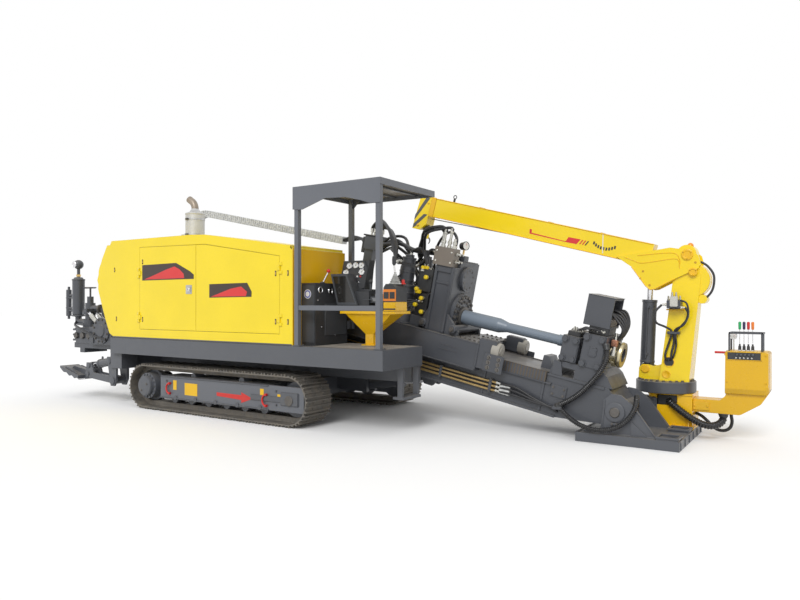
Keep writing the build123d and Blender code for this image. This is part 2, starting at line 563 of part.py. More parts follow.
# Mud pump on its skid behind the deck
PUMP_Y = -740.0
VESSEL_X = -4650.0
REAR_END = -4960.0
with BuildPart() as pump:
    for skid_y in (PUMP_Y - 190, PUMP_Y + 110):
        block((-4450, DECK_REAR - SEAT_GAP), (skid_y, skid_y + 80), (DECK_BOTTOM + 10, DECK_BOTTOM + 90))
    block((-4300, -4180), (PUMP_Y - 190, PUMP_Y + 190), (DECK_BOTTOM - 60, DECK_BOTTOM + 90))
    # Power end with its round crankcase, and the fluid end with three flanges
    block((-3950, -3400), (PUMP_Y - 260, PUMP_Y + 260), (DECK_BOTTOM + 80, 1060))
    cross_pin(-3640, 1010, (PUMP_Y - 260, PUMP_Y + 260), 190)
    block((-4400, -3940), (PUMP_Y - 200, PUMP_Y + 200), (DECK_BOTTOM + 80, 1040))
    for flange_z in (830, 910, 990):
        block((-4560, -4390), (PUMP_Y - 150, PUMP_Y + 150), (flange_z, flange_z + 30))
    # Valve column with hand wheel
    for low, high, radius in ((1030, 1160, 110), (1150, 1420, 75), (1240, 1290, 115), (1410, 1520, 48),
                              (1510, 1665, 14)):
        bar((-4330, PUMP_Y, low), (-4330, PUMP_Y, high), radius)
    bar((-4520, PUMP_Y, 1655), (-4210, PUMP_Y, 1655), 10)
    bar((-4330, PUMP_Y, 1330), (-4080, PUMP_Y, 1330), 52)
    # Pulsation vessel with its gauge ball
    with BuildSketch(Plane.XZ.offset(-PUMP_Y)) as vessel:
        with BuildLine():
            Polyline((VESSEL_X, 1200), (VESSEL_X + 60, 1200), (VESSEL_X + 92, 1240), (VESSEL_X + 92, 1780),
                     (VESSEL_X + 60, 1825), (VESSEL_X + 24, 1832), (VESSEL_X + 24, 2000), (VESSEL_X, 2000),
                     close=True)
        make_face()
    revolve(vessel.sketch, axis=Axis((VESSEL_X, PUMP_Y, 0), (0, 0, 1)), revolution_arc=360)
    with Locations((VESSEL_X, PUMP_Y, 2030)):
        Sphere(75)
    bar((VESSEL_X, PUMP_Y, 1110), (VESSEL_X, PUMP_Y, 1210), 48)
    bar((VESSEL_X, PUMP_Y, 1120), (-4330, PUMP_Y, 1100), 55)
    # Small rear cylinder
    rear_x = REAR_END + 40
    bar((rear_x, PUMP_Y, 1210), (rear_x, PUMP_Y, 1630), 40)
    for clip_z in (1300, 1540):
        bar((rear_x, PUMP_Y, clip_z), (VESSEL_X, PUMP_Y, clip_z), 22)
    # Pointed cover of the suction side
    with BuildSketch(Plane.XZ.offset(-PUMP_Y)) as cover:
        with BuildLine():
            Polyline((-4700, 780), (-4600, 835), (-4440, 835), (-4440, 780), close=True)
        make_face()
    revolve(cover.sketch, axis=Axis((0, PUMP_Y, 780), (1, 0, 0)), revolution_arc=360)
finish(pump, "mud_pump")

# Mast: box beam with a rack on each side, pivot and cylinder lugs, stop, nose and hose tray
RACK_PITCH = 35.5
RACK_TEETH = (2200.0, 3050.0)
NOSE = mast_uv(ANCHOR_PIVOT_X, ANCHOR_PIVOT_Z)
NOSE_R = 90.0
ANCHOR_PIN_R = 50.0
PIVOT_UV = mast_uv(MAST_PIVOT_X, MAST_PIVOT_Z)
EYE_UV = mast_uv(*CYLINDER_EYE)
HOSE_HALF = HOSE_SIZE / 2
tray_top = HOSE_V - 2 * HOSE_LOOP_R - HOSE_HALF - SEAT_GAP
with BuildPart() as mast:
    prism(mast_plane(-MAST_HALF), [(MAST_REAR, MAST_BOTTOM), (3200, MAST_BOTTOM), (MAST_FRONT, -709),
                                   (NOSE[0], NOSE[1] - NOSE_R), (NOSE[0], NOSE[1] + NOSE_R), (MAST_FRONT, MAST_TOP),
                                   (MAST_REAR, MAST_TOP)], 2 * MAST_HALF)
    mast_pin(NOSE[0], NOSE[1], (-MAST_HALF, MAST_HALF), NOSE_R)
    mast_pin(NOSE[0], NOSE[1], (-MAST_HALF - 1, MAST_HALF + 1), ANCHOR_PIN_R + SEAT_GAP, Mode.SUBTRACT)
    teeth_count = int((RACK_TEETH[1] - RACK_TEETH[0]) / RACK_PITCH)
    for side in (-1, 1):
        comb = [(RACK_TEETH[0], side * (MAST_HALF - 5)), (MAST_REAR + 50, side * (MAST_HALF - 5)),
                (MAST_REAR + 50, side * (MAST_HALF + RACK_PROUD)), (RACK_TEETH[0], side * (MAST_HALF + RACK_PROUD))]
        for tooth in range(teeth_count):
            tooth_u = RACK_TEETH[0] + tooth * RACK_PITCH
            comb.append((tooth_u, side * (MAST_HALF + 8)))
            comb.append((tooth_u + RACK_PITCH / 2, side * (MAST_HALF + 8)))
            comb.append((tooth_u + RACK_PITCH / 2, side * (MAST_HALF + RACK_PROUD)))
            comb.append((tooth_u + RACK_PITCH, side * (MAST_HALF + RACK_PROUD)))
        comb.append((RACK_TEETH[0] + teeth_count * RACK_PITCH, side * (MAST_HALF - 5)))
        prism(mast_deck(RACK_BOTTOM), comb, RACK_TOP - RACK_BOTTOM)
    # Stop for the carriage
    prism(mast_plane(-120), [(2879, MAST_TOP - 5), (2890, -189), (2950, -189), (3042, MAST_TOP - 5)], 240)
    # Lugs for the pivot and for the cylinder's eye
    prism(mast_plane(-LUG_HALF), [(PIVOT_UV[0] - 330, MAST_BOTTOM + 5), (PIVOT_UV[0] + 330, MAST_BOTTOM + 5),
                                  (PIVOT_UV[0] + 90, PIVOT_UV[1] - 85), (PIVOT_UV[0] - 90, PIVOT_UV[1] - 85)],
          2 * LUG_HALF)
    mast_pin(PIVOT_UV[0], PIVOT_UV[1], (-LUG_HALF - 1, LUG_HALF + 1), MAST_PIN_R + SEAT_GAP, Mode.SUBTRACT)
    for low, high in ((-LUG_HALF - 45, -LUG_HALF - RUN_GAP), (LUG_HALF + RUN_GAP, LUG_HALF + 45)):
        prism(mast_plane(low), [(EYE_UV[0] - 160, MAST_BOTTOM + 5), (EYE_UV[0] + 160, MAST_BOTTOM + 5),
                                (EYE_UV[0] + 55, EYE_UV[1] - 60), (EYE_UV[0] - 55, EYE_UV[1] - 60)], high - low)
    mast_pin(EYE_UV[0], EYE_UV[1], (-LUG_HALF - 40, LUG_HALF + 40), 28)
    # Tray under the drag hose's lower run, on brackets that reach round the carriage
    mast_block((-3500, -1400), (tray_top - 16, tray_top), (HOSE_W - 60, HOSE_W + 50))
    for bracket_u in (-3350, -2450, -1550):
        mast_block((bracket_u, bracket_u + 90), (-620, tray_top - 10), (HOSE_W - 40, HOSE_W + 30))
        mast_block((bracket_u, bracket_u + 90), (-620, -550), (HOSE_W - 40, -MAST_HALF + 5))
finish(mast, "mast_beam")

# Front vise: stand, fixed jaw block, guide flange and the cover over its valves
with BuildPart() as vise:
    stand_top = -BREAKOUT_R - SEAT_GAP
    prism(mast_plane(-300), [(3046, MAST_TOP + SEAT_GAP), (3740, MAST_TOP + SEAT_GAP), (3660, -220), (3590, -170),
                             (3345, -170), (3345, stand_top), (3092, stand_top)], 600)
    mast_block((3130, 3320), (MAST_TOP - 1, -235), (-301, 301), Mode.SUBTRACT)
    mast_block(VISE_FIXED, (-180, 180), (-300, 300))
    mast_bar((VISE_FIXED[1] - 5, 3665), 0, 0, 105)
    mast_bar((3660, 3700), 0, 0, 130)
    mast_block((3360, 3560), (175, 265), (-60, 200))
    mast_block((3290, 3570), (260, 580), (-100, 250))
    mast_block((3310, 3571), (280, 560), (-80, 230), Mode.SUBTRACT)
    mast_bar((VISE_FIXED[0] - 1, 3701), 0, 0, BORE_R, Mode.SUBTRACT)
finish(vise, "front_vise")

# Breakout vise: a round body about the rod with a lobe on the near side
with BuildPart() as breakout:
    mast_bar(VISE_REAR, 0, 0, BREAKOUT_R)
    mast_block(VISE_REAR, (-170, 110), (0, 300))
    mast_bar((VISE_REAR[0] - 1, VISE_REAR[1] + 1), 0, 0, BORE_R, Mode.SUBTRACT)
finish(breakout, "breakout_vise")

# Carriage: a saddle that rides over the mast and hooks under its racks
INNER_HALF = MAST_HALF + RACK_PROUD + 10
with BuildPart() as carriage:
    mast_block((CARRIAGE_REAR, CARRIAGE_FRONT), (CARRIAGE_BOTTOM, CARRIAGE_TOP), (-CARRIAGE_HALF, CARRIAGE_HALF))
    mast_block((CARRIAGE_REAR - 1, CARRIAGE_FRONT + 1), (RACK_BOTTOM - RUN_GAP, RACK_TOP + RUN_GAP + 4),
               (-INNER_HALF, INNER_HALF), Mode.SUBTRACT)
    mast_block((CARRIAGE_REAR - 1, CARRIAGE_FRONT + 1), (CARRIAGE_BOTTOM - 1, RACK_BOTTOM),
               (-MAST_HALF - RUN_GAP, MAST_HALF + RUN_GAP), Mode.SUBTRACT)
    for pad_u in (-400, 500, 1400, 2000):
        for pad_w in (-260, 160):
            mast_block((pad_u, pad_u + 160), (MAST_TOP + SEAT_GAP, RACK_TOP + RUN_GAP + 5), (pad_w, pad_w + 100))
    # Pinion housings at the front
    for low, high in ((300, CARRIAGE_HALF), (-CARRIAGE_HALF, -300)):
        mast_block((2234, 2450), (MAST_TOP + 30, -140), (low, high))
    mast_block((2234, 2480), (-470, MAST_TOP + 40), (INNER_HALF, CARRIAGE_HALF))
    mast_block((2234, 2480), (-470, MAST_TOP + 40), (-CARRIAGE_HALF, -INNER_HALF))
    # Tower that carries the hoses from the drag hose's end
    mast_block((-100, 40), (CARRIAGE_TOP - 5, 700), (-CARRIAGE_HALF, -330))
    mast_block((-100, 180), (560, 740), (-CARRIAGE_HALF, -300))
finish(carriage, "carriage_bed")

# Rotary gearbox on its feet
with BuildPart() as gearbox:
    foot = CARRIAGE_TOP + SEAT_GAP
    prism(mast_plane(-300), [(GEARBOX_REAR, foot), (GEARBOX_FRONT, foot), (GEARBOX_FRONT, GEARBOX_TOP),
                             (GEARBOX_REAR, GEARBOX_TOP)], 480)
    prism(mast_plane(170), [(GEARBOX_REAR, foot), (GEARBOX_FRONT, foot), (GEARBOX_FRONT, 575),
                            (GEARBOX_REAR, 575)], 130)
    for low in (-300, 260):
        prism(mast_plane(low), [(1340, foot), (1880, foot), (1880, -150), (GEARBOX_FRONT, 20),
                                (GEARBOX_REAR, 60), (1340, -150)], 40)
    for boss_u in (1401, 1815):
        mast_pin(boss_u, -136, (-325, 325), 48)
    mast_bar((GEARBOX_FRONT - 5, GEARBOX_FRONT + 45), 30, 0, 235)
    mast_bar((GEARBOX_FRONT - 5, GEARBOX_FRONT + 35), 445, 0, 140)
    mast_bar((GEARBOX_FRONT - 60, GEARBOX_FRONT + 46), 0, 0, ROD_THICK_R + RUN_GAP, Mode.SUBTRACT)
finish(gearbox, "rotary_gearbox")

# Drives: upright reducers with motors on the bed, and motors behind the gearbox
with BuildPart() as motors:
    for side in (-1, 1):
        for low, high, radius in ((foot, -60, 195), (-65, 260, 135), (255, 470, 95)):
            bar(mast_point(1000, low, side * 215), mast_point(1000, high, side * 215), radius)
    for motor_v, motor_w in ((330, 140), (330, -160), (80, -160)):
        mast_bar((1230, GEARBOX_REAR - SEAT_GAP), motor_v, motor_w, 92)
finish(motors, "drive_motors")

with BuildPart() as manifold:
    mast_block((1400, 1660), (575 + SEAT_GAP, 790), (180 + SEAT_GAP, 330))
finish(manifold, "valve_manifold")

# Drill rod with its thick saver end, taper and front collar
COLLAR_R = 64.0
with BuildPart() as rod:
    with BuildSketch(mast_plane(0)) as rod_half:
        with BuildLine():
            Polyline((GEARBOX_FRONT - 59.7, 0), (GEARBOX_FRONT - 59.7, ROD_THICK_R), (2250, ROD_THICK_R),
                     (2360, ROD_R), (2985, ROD_R), (2985, COLLAR_R), (3030, COLLAR_R), (3030, ROD_R),
                     (ROD_END, ROD_R), (ROD_END, 0), close=True)
        make_face()
    revolve(rod_half.sketch, axis=Axis(mast_point(0, 0), (cos(radians(MAST_ANGLE)), 0,
                                                      -sin(radians(MAST_ANGLE)))))
finish(rod, "drill_rod")

# Drag hose: upper run, loop and a stretch of the lower run
with BuildPart() as hose:
    mast_block((HOSE_LOOP, HOSE_FRONT), (HOSE_V - HOSE_HALF, HOSE_V + HOSE_HALF),
               (HOSE_W - HOSE_HALF, HOSE_W + HOSE_HALF))
    mast_block((HOSE_LOOP, HOSE_LOOP + HOSE_LOWER),
               (HOSE_V - 2 * HOSE_LOOP_R - HOSE_HALF, HOSE_V - 2 * HOSE_LOOP_R + HOSE_HALF),
               (HOSE_W - HOSE_HALF, HOSE_W + HOSE_HALF))
    with BuildSketch(mast_plane(HOSE_W - HOSE_HALF)) as bend:
        with Locations((HOSE_LOOP, HOSE_V - HOSE_LOOP_R)):
            Circle(HOSE_LOOP_R + HOSE_HALF)
            Circle(HOSE_LOOP_R - HOSE_HALF, mode=Mode.SUBTRACT)
        with Locations((HOSE_LOOP, HOSE_V - HOSE_LOOP_R)):
            Rectangle(2 * HOSE_LOOP_R, 3 * HOSE_LOOP_R, align=(LOW, MID), mode=Mode.SUBTRACT)
    extrude(bend.sketch, amount=HOSE_SIZE)
finish(hose, "hose_carrier")

# Mast cylinder
ram(("mast_cylinder", ""), CYLINDER_BASE, CYLINDER_EYE, MAST_Y, 62, 34, 640, (30, 28), LUG_HALF)

# Anchor plate with two stake holes and the arms that hold the mast's nose
STAKE_R = 75.0
STAKES = ((4148.0, -35.0), (4151.0, 488.0))
ARM_GAP = MAST_HALF + RUN_GAP
with BuildPart() as anchor:
    block((ANCHOR_REAR, ANCHOR_FRONT), (ANCHOR_NEAR, ANCHOR_FAR), (0, ANCHOR_THICK))
    for low in (-ARM_GAP - 30, ARM_GAP):
        prism(side_plane(MAST_Y + low + 30), [(3480, ANCHOR_THICK - 5), (3520, 440), (3600, 505), (3700, 490),
                                              (3813, 400), (4040, ANCHOR_THICK - 5)], 30)
    cross_pin(ANCHOR_PIVOT_X, ANCHOR_PIVOT_Z, (MAST_Y - ARM_GAP - 30, MAST_Y + ARM_GAP + 30), ANCHOR_PIN_R)
    for stake_x, stake_y in STAKES:
        block((stake_x - 100, stake_x + 100), (stake_y - 100, stake_y + 100), (ANCHOR_THICK - 5, ANCHOR_THICK + 15))
        bar((stake_x, stake_y, -1), (stake_x, stake_y, ANCHOR_THICK + 20), STAKE_R, Mode.SUBTRACT)
finish(anchor, "anchor_plate")

# Crane base with the slewing cylinder's housing, and the console on its arm
BASE_X = (3800.0, 4240.0)
BASE_Y = (660.0, 1040.0)
with BuildPart() as base:
    block(BASE_X, BASE_Y, (ANCHOR_THICK + SEAT_GAP, RING_BOTTOM - SEAT_GAP))
    block((BASE_X[0] - 60, BASE_X[1] + 20), (BASE_Y[0] - 20, BASE_Y[1] + 50),
          (ANCHOR_THICK + SEAT_GAP, ANCHOR_THICK + 26))
    block((3660, BASE_X[0] + 5), (660, 800), (260, 400))
    block((3880, 4090), (BASE_Y[0] - 1, BASE_Y[0] + 140), (330, 440), Mode.SUBTRACT)
finish(base, "crane_base")

CONSOLE_Y = (640.0, 920.0)
FRONT_END = 4960.0
with BuildPart() as crane_console:
    prism(side_plane(CONSOLE_Y[1]), [(BASE_X[1] + SEAT_GAP, 276), (4388, 276), (4716, 292), (FRONT_END, 510),
                                     (FRONT_END, 937), (4555, 937), (4545, 600), (4570, 500), (4480, 415),
                                     (BASE_X[1] + SEAT_GAP, 415)], CONSOLE_Y[1] - CONSOLE_Y[0])
    block((BASE_X[1] - 1, 4480), (780, CONSOLE_Y[1] + 1), (270, 420), Mode.SUBTRACT)
    for post_x in (4590, 4890):
        bar((post_x, 700, 930), (post_x, 700, 1120), 9)
        bar((post_x, 860, 930), (post_x, 860, 1120), 9)
    for rail_y in (700, 860):
        bar((4581, rail_y, 1120), (4899, rail_y, 1120), 9)
    for lever_x in (4680, 4720, 4760, 4800):
        bar((lever_x, 770, 930), (lever_x, 770, 1230), 7)
finish(crane_console, "crane_console")

# Crane column: slewing ring, leaning box, lift eye and winch
COLUMN_HALF = 90.0
COLUMN_FOOT = (3896.0, 4200.0)
COLUMN_HEAD = (4030.0, 4310.0)
with BuildPart() as column:
    bar((CRANE_X, CRANE_Y, RING_BOTTOM), (CRANE_X, CRANE_Y, RING_TOP), RING_R)
    with BuildSketch(Plane.XY.offset(RING_TOP - 2)) as foot_face:
        with Locations(((COLUMN_FOOT[0] + COLUMN_FOOT[1]) / 2, CRANE_Y)):
            Rectangle(COLUMN_FOOT[1] - COLUMN_FOOT[0], 300)
    with BuildSketch(Plane.XY.offset(1700)) as head_face:
        with Locations(((COLUMN_HEAD[0] + COLUMN_HEAD[1]) / 2, CRANE_Y)):
            Rectangle(COLUMN_HEAD[1] - COLUMN_HEAD[0], 2 * COLUMN_HALF)
    loft(sections=[foot_face.sketch, head_face.sketch], ruled=True)
    prism(side_plane(CRANE_Y + COLUMN_HALF), [(COLUMN_HEAD[0], 1690), (COLUMN_HEAD[1], 1690),
                                              (BOOM_PIVOT[0] + 100, BOOM_PIVOT[1]),
                                              (BOOM_PIVOT[0] - 100, BOOM_PIVOT[1])], 2 * COLUMN_HALF)
    cross_pin(*BOOM_PIVOT, (CRANE_Y - COLUMN_HALF, CRANE_Y + COLUMN_HALF), 100)
    for low, high in ((-76, -46), (46, 76)):
        prism(side_plane(CRANE_Y + high), [(3660, RING_TOP - 2), (3668, 715), (3704, 748), (3766, 748),
                                           (3830, 730), (3920, 760), (3920, RING_TOP - 2)], high - low)
    cross_pin(*LIFT_BASE, (CRANE_Y - 76, CRANE_Y + 76), 32)
    cross_pin(4215, 1672, (CRANE_Y - 85, CRANE_Y + 85), 180)
    cross_pin(4320, 1470, (CRANE_Y - 80, CRANE_Y + 80), 48)
    cross_pin(*BOOM_PIVOT, (CRANE_Y - COLUMN_HALF - 1, CRANE_Y + COLUMN_HALF + 1), 40 + SEAT_GAP, Mode.SUBTRACT)
finish(column, "crane_column")

# Boom: root plates outside the column's head, and the box that holds the sliding boom
ROOT = [(3427, 1951), (3596, 1831), (3746, 1618), (3794, 1575), (3843, 1582), (4049, 1688), (4290, 1800),
        (4310, 1850), (4288, 1937), (4234, 1988), (4003, 2030)]
with BuildPart() as boom:
    prism(boom_plane(CRANE_Y - BOOM_HALF), [(BOOM_START, BOOM_BOTTOM), (BOOM_END, BOOM_BOTTOM),
                                            (BOOM_END, BOOM_TOP), (BOOM_START, BOOM_TOP)], 2 * BOOM_HALF)
    prism(boom_plane(CRANE_Y - BOOM_HALF + BOOM_WALL),
          [(900, BOOM_BOTTOM + BOOM_WALL), (BOOM_END + 1, BOOM_BOTTOM + BOOM_WALL), (BOOM_END + 1, BOOM_TOP - BOOM_WALL),
           (900, BOOM_TOP - BOOM_WALL)], 2 * (BOOM_HALF - BOOM_WALL), Mode.SUBTRACT)
    prism(boom_plane(CRANE_Y - 60), [(3150, BOOM_BOTTOM + 5), (BOOM_END, BOOM_BOTTOM + 5),
                                     (BOOM_END, BOOM_BOTTOM + BOOM_WALL + RUN_GAP - SEAT_GAP),
                                     (3150, BOOM_BOTTOM + BOOM_WALL + RUN_GAP - SEAT_GAP)], 120)
    for plate_y in (CRANE_Y + BOOM_HALF + ROOT_PLATE, CRANE_Y - BOOM_HALF):
        prism(side_plane(plate_y), ROOT, ROOT_PLATE)
    cross_pin(*BOOM_PIVOT, (CRANE_Y - BOOM_HALF - ROOT_PLATE - 8, CRANE_Y + BOOM_HALF + ROOT_PLATE + 8), 40)
finish(boom, "crane_boom")

with BuildPart() as boom_tip:
    inner_gap = BOOM_WALL + RUN_GAP
    prism(boom_plane(CRANE_Y - BOOM_HALF + inner_gap),
          [(1500, BOOM_BOTTOM + inner_gap), (BOOM_END + 120, BOOM_BOTTOM + inner_gap),
           (BOOM_END + 120, BOOM_TOP - inner_gap), (1500, BOOM_TOP - inner_gap)], 2 * (BOOM_HALF - inner_gap))
    head_start = BOOM_END + RUN_GAP
    prism(boom_plane(CRANE_Y - BOOM_HALF), [(head_start, BOOM_TOP), (3450, BOOM_TOP - 10), (3480, -420), (3366, -419),
                                            (head_start, -326)], 2 * BOOM_HALF)
    bar((870, CRANE_Y, 2500), (870, CRANE_Y, 2290), 28)
finish(boom_tip, "crane_boom_tip")

# Lift cylinder
ram(("lift_cylinder", ""), LIFT_BASE, LIFT_TOP, CRANE_Y, 76, 33, 760, (32, 30), 40)

# Rear outriggers: arm, foot and cylinder on each side
FOOT = [(-4390, 470), (-3850, 330), (-3850, 300), (-3900, 285), (-3960, 318), (-4020, 300), (-4080, 340),
        (-4150, 330), (-4220, 375), (-4300, 380), (-4370, 430), (-4390, 440)]
for name, side in SIDES:
    middle = side * ARM_Y
    with BuildPart() as arm:
        for cheek in (-1, 1):
            cheek_y = middle + cheek * 62 + 13
            prism(side_plane(cheek_y), [(ARM_PIVOT[0] + 20, ARM_PIVOT[1] - 50), (ARM_PIVOT[0] + 20, ARM_PIVOT[1] + 50),
                                        (-3645, 400), (RAM_EYE[0] + 60, RAM_EYE[1] + 40),
                                        (RAM_EYE[0] - 60, RAM_EYE[1] + 40),
                                        (ARM_END[0] - 45, ARM_END[1] - 30), (ARM_END[0], ARM_END[1] - 50)], 26)
        cross_pin(*ARM_PIVOT, (middle - 75, middle + 75), 50)
        cross_pin(*ARM_PIVOT, (middle - 76, middle + 76), 28 + SEAT_GAP, Mode.SUBTRACT)
        cross_pin(*ARM_END, (middle - 75, middle + 75), 26)
        cross_pin(*RAM_EYE, (middle - 75, middle + 75), 20)
    finish(arm, f"outrigger_arm_{name}")
    with BuildPart() as foot_piece:
        prism(side_plane(middle + 150), FOOT, 300)
        prism(side_plane(middle + 40), [(-4250, 430), (-4200, 470), (ARM_END[0] - 20, ARM_END[1] + 45),
                                        (ARM_END[0] + 40, ARM_END[1] + 10), (ARM_END[0] + 30, ARM_END[1] - 35),
                                        (-3860, 325)], 80)
        block((ARM_END[0] - 120, -3600), (middle - 151, middle - 40), (ARM_END[1] - 80, 900), Mode.SUBTRACT)
        block((ARM_END[0] - 120, -3600), (middle + 40, middle + 151), (ARM_END[1] - 80, 900), Mode.SUBTRACT)
        cross_pin(*ARM_END, (middle - 41, middle + 41), 26 + SEAT_GAP, Mode.SUBTRACT)
    finish(foot_piece, f"outrigger_foot_{name}")
    ram(("outrigger", f"_{name}"), RAM_BASE, RAM_EYE, middle, 60, 30, 375, (24, 20), 42)
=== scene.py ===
"""Looks of a horizontal directional drill on crawler tracks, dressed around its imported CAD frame."""

from math import cos, pi, radians, sin, tan, tau

import bmesh
import bpy
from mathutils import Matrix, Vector


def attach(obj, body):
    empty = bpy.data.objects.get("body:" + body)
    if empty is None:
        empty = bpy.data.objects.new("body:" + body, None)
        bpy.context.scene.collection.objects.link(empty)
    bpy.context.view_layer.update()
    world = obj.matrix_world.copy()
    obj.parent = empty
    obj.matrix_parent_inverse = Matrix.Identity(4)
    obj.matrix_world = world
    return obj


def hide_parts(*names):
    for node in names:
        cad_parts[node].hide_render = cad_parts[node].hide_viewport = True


bl_info = {
    "name": "Directional Drill Dressing",
    "version": (1, 0, 0),
    "blender": (4, 5, 0),
    "location": "3D View > Sidebar > Drill",
    "description": "Finishes, fasteners, hoses and fittings for a crawler drill rig",
    "category": "Object",
}

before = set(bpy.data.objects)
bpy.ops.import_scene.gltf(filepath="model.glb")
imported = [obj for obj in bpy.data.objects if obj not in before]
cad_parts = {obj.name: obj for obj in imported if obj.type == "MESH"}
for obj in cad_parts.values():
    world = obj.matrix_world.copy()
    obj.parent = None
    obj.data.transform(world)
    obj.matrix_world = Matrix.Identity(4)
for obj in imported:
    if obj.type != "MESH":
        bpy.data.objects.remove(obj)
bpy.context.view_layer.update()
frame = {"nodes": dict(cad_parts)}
NODES = frame["nodes"]

# Mast frame of the CAD source, in metres: u along the drill rod, v above it, w to the near side
MAST_SLOPE = radians(11.5)
MAST_Y = 0.27
MAST_LINE_Z = 1.612
# Boom frame: s from its pivot to its head, h above it
BOOM_SLOPE = radians(14.8)
BOOM_PIVOT = (4.165, 1.955)
CRANE_Y = 0.85
PUMP_Y = -0.74
OUTRIGGER_Y = 1.05
SMOOTH_UP_TO = radians(38)


def mast(u, v, w=0.0):
    """A point of the mast frame in the row frame."""
    return Vector((
        u * cos(MAST_SLOPE) + v * sin(MAST_SLOPE),
        MAST_Y - w,
        MAST_LINE_Z - u * sin(MAST_SLOPE) + v * cos(MAST_SLOPE),
    ))


def boom(s, h, y=CRANE_Y):
    """A point of the boom frame in the row frame."""
    return Vector((
        BOOM_PIVOT[0] - s * cos(BOOM_SLOPE) + h * sin(BOOM_SLOPE),
        y,
        BOOM_PIVOT[1] + s * sin(BOOM_SLOPE) + h * cos(BOOM_SLOPE),
    ))


ALONG = (mast(1, 0) - mast(0, 0)).normalized()
UPRIGHT = (mast(0, 1) - mast(0, 0)).normalized()
NEAR = Vector((0, -1, 0))
FAR = Vector((0, 1, 0))
FRONT = Vector((1, 0, 0))
REAR = Vector((-1, 0, 0))
UP = Vector((0, 0, 1))
LIFT = (boom(0, 1) - boom(0, 0)).normalized()


# Materials

def node(tree, kind, **values):
    """A shader or geometry node with its properties, and its inputs by name or number."""
    made = tree.nodes.new(kind)
    for key, value in values.items():
        if key == "inputs":
            for name, item in value.items():
                if isinstance(item, bpy.types.NodeSocket):
                    tree.links.new(item, made.inputs[name])
                else:
                    made.inputs[name].default_value = item
        else:
            setattr(made, key, value)
    return made


def rgba(colour):
    return (*colour[:3], 1.0)


def shade(colour, factor):
    return tuple(min(1.0, c * factor) for c in colour[:3])


def new_material(name):
    """An empty node material with its shader and coordinates."""
    made = bpy.data.materials.new(name)
    made.use_nodes = True
    tree = made.node_tree
    tree.nodes.clear()
    shader = node(tree, "ShaderNodeBsdfPrincipled")
    out = node(tree, "ShaderNodeOutputMaterial")
    tree.links.new(shader.outputs["BSDF"], out.inputs["Surface"])
    place = node(tree, "ShaderNodeTexCoord").outputs["Object"]
    return made, tree, shader, place


def noise(tree, place, scale, detail=4.0, rough=0.55, stretch=None):
    """A noise pattern on the object's coordinates."""
    if stretch:
        place = node(tree, "ShaderNodeMapping", inputs={"Vector": place, "Scale": stretch}).outputs["Vector"]
    return node(tree, "ShaderNodeTexNoise",
                inputs={"Vector": place, "Scale": scale, "Detail": detail, "Roughness": rough}).outputs["Fac"]


def ramp(tree, value, low, high, to_low=0.0, to_high=1.0):
    """A value brought from one range to another, held at its ends."""
    return node(tree, "ShaderNodeMapRange",
        inputs={"Value": value, "From Min": low, "From Max": high, "To Min": to_low,
        "To Max": to_high}).outputs["Result"]


def mix(tree, factor, first, second):
    """Two colours mixed by a factor."""
    made = tree.nodes.new("ShaderNodeMix")
    made.data_type = "RGBA"
    for index, item in ((0, factor), (6, first), (7, second)):
        if isinstance(item, bpy.types.NodeSocket):
            tree.links.new(item, made.inputs[index])
        elif index:
            made.inputs[index].default_value = rgba(item)
        else:
            made.inputs[index].default_value = item
    return made.outputs[2]


def sums(tree, operation, first, second=0.0):
    """One step of arithmetic."""
    made = tree.nodes.new("ShaderNodeMath")
    made.operation = operation
    for index, item in ((0, first), (1, second)):
        if isinstance(item, bpy.types.NodeSocket):
            tree.links.new(item, made.inputs[index])
        else:
            made.inputs[index].default_value = item
    return made.outputs[0]


def facing_up(tree):
    """How far a surface faces upwards, from -1 to 1."""
    normal = node(tree, "ShaderNodeNewGeometry").outputs["Normal"]
    return node(tree, "ShaderNodeSeparateXYZ", inputs={"Vector": normal}).outputs["Z"]


def bumped(tree, shader, height, distance, edge=0.0):
    """A bump from a height pattern, on edges that look rounded by a radius."""
    bump = node(tree, "ShaderNodeBump", inputs={"Height": height, "Distance": distance, "Strength": 0.6})
    if edge:
        round_edge = node(tree, "ShaderNodeBevel", samples=4, inputs={"Radius": edge})
        tree.links.new(round_edge.outputs["Normal"], bump.inputs["Normal"])
    tree.links.new(bump.outputs["Normal"], shader.inputs["Normal"])


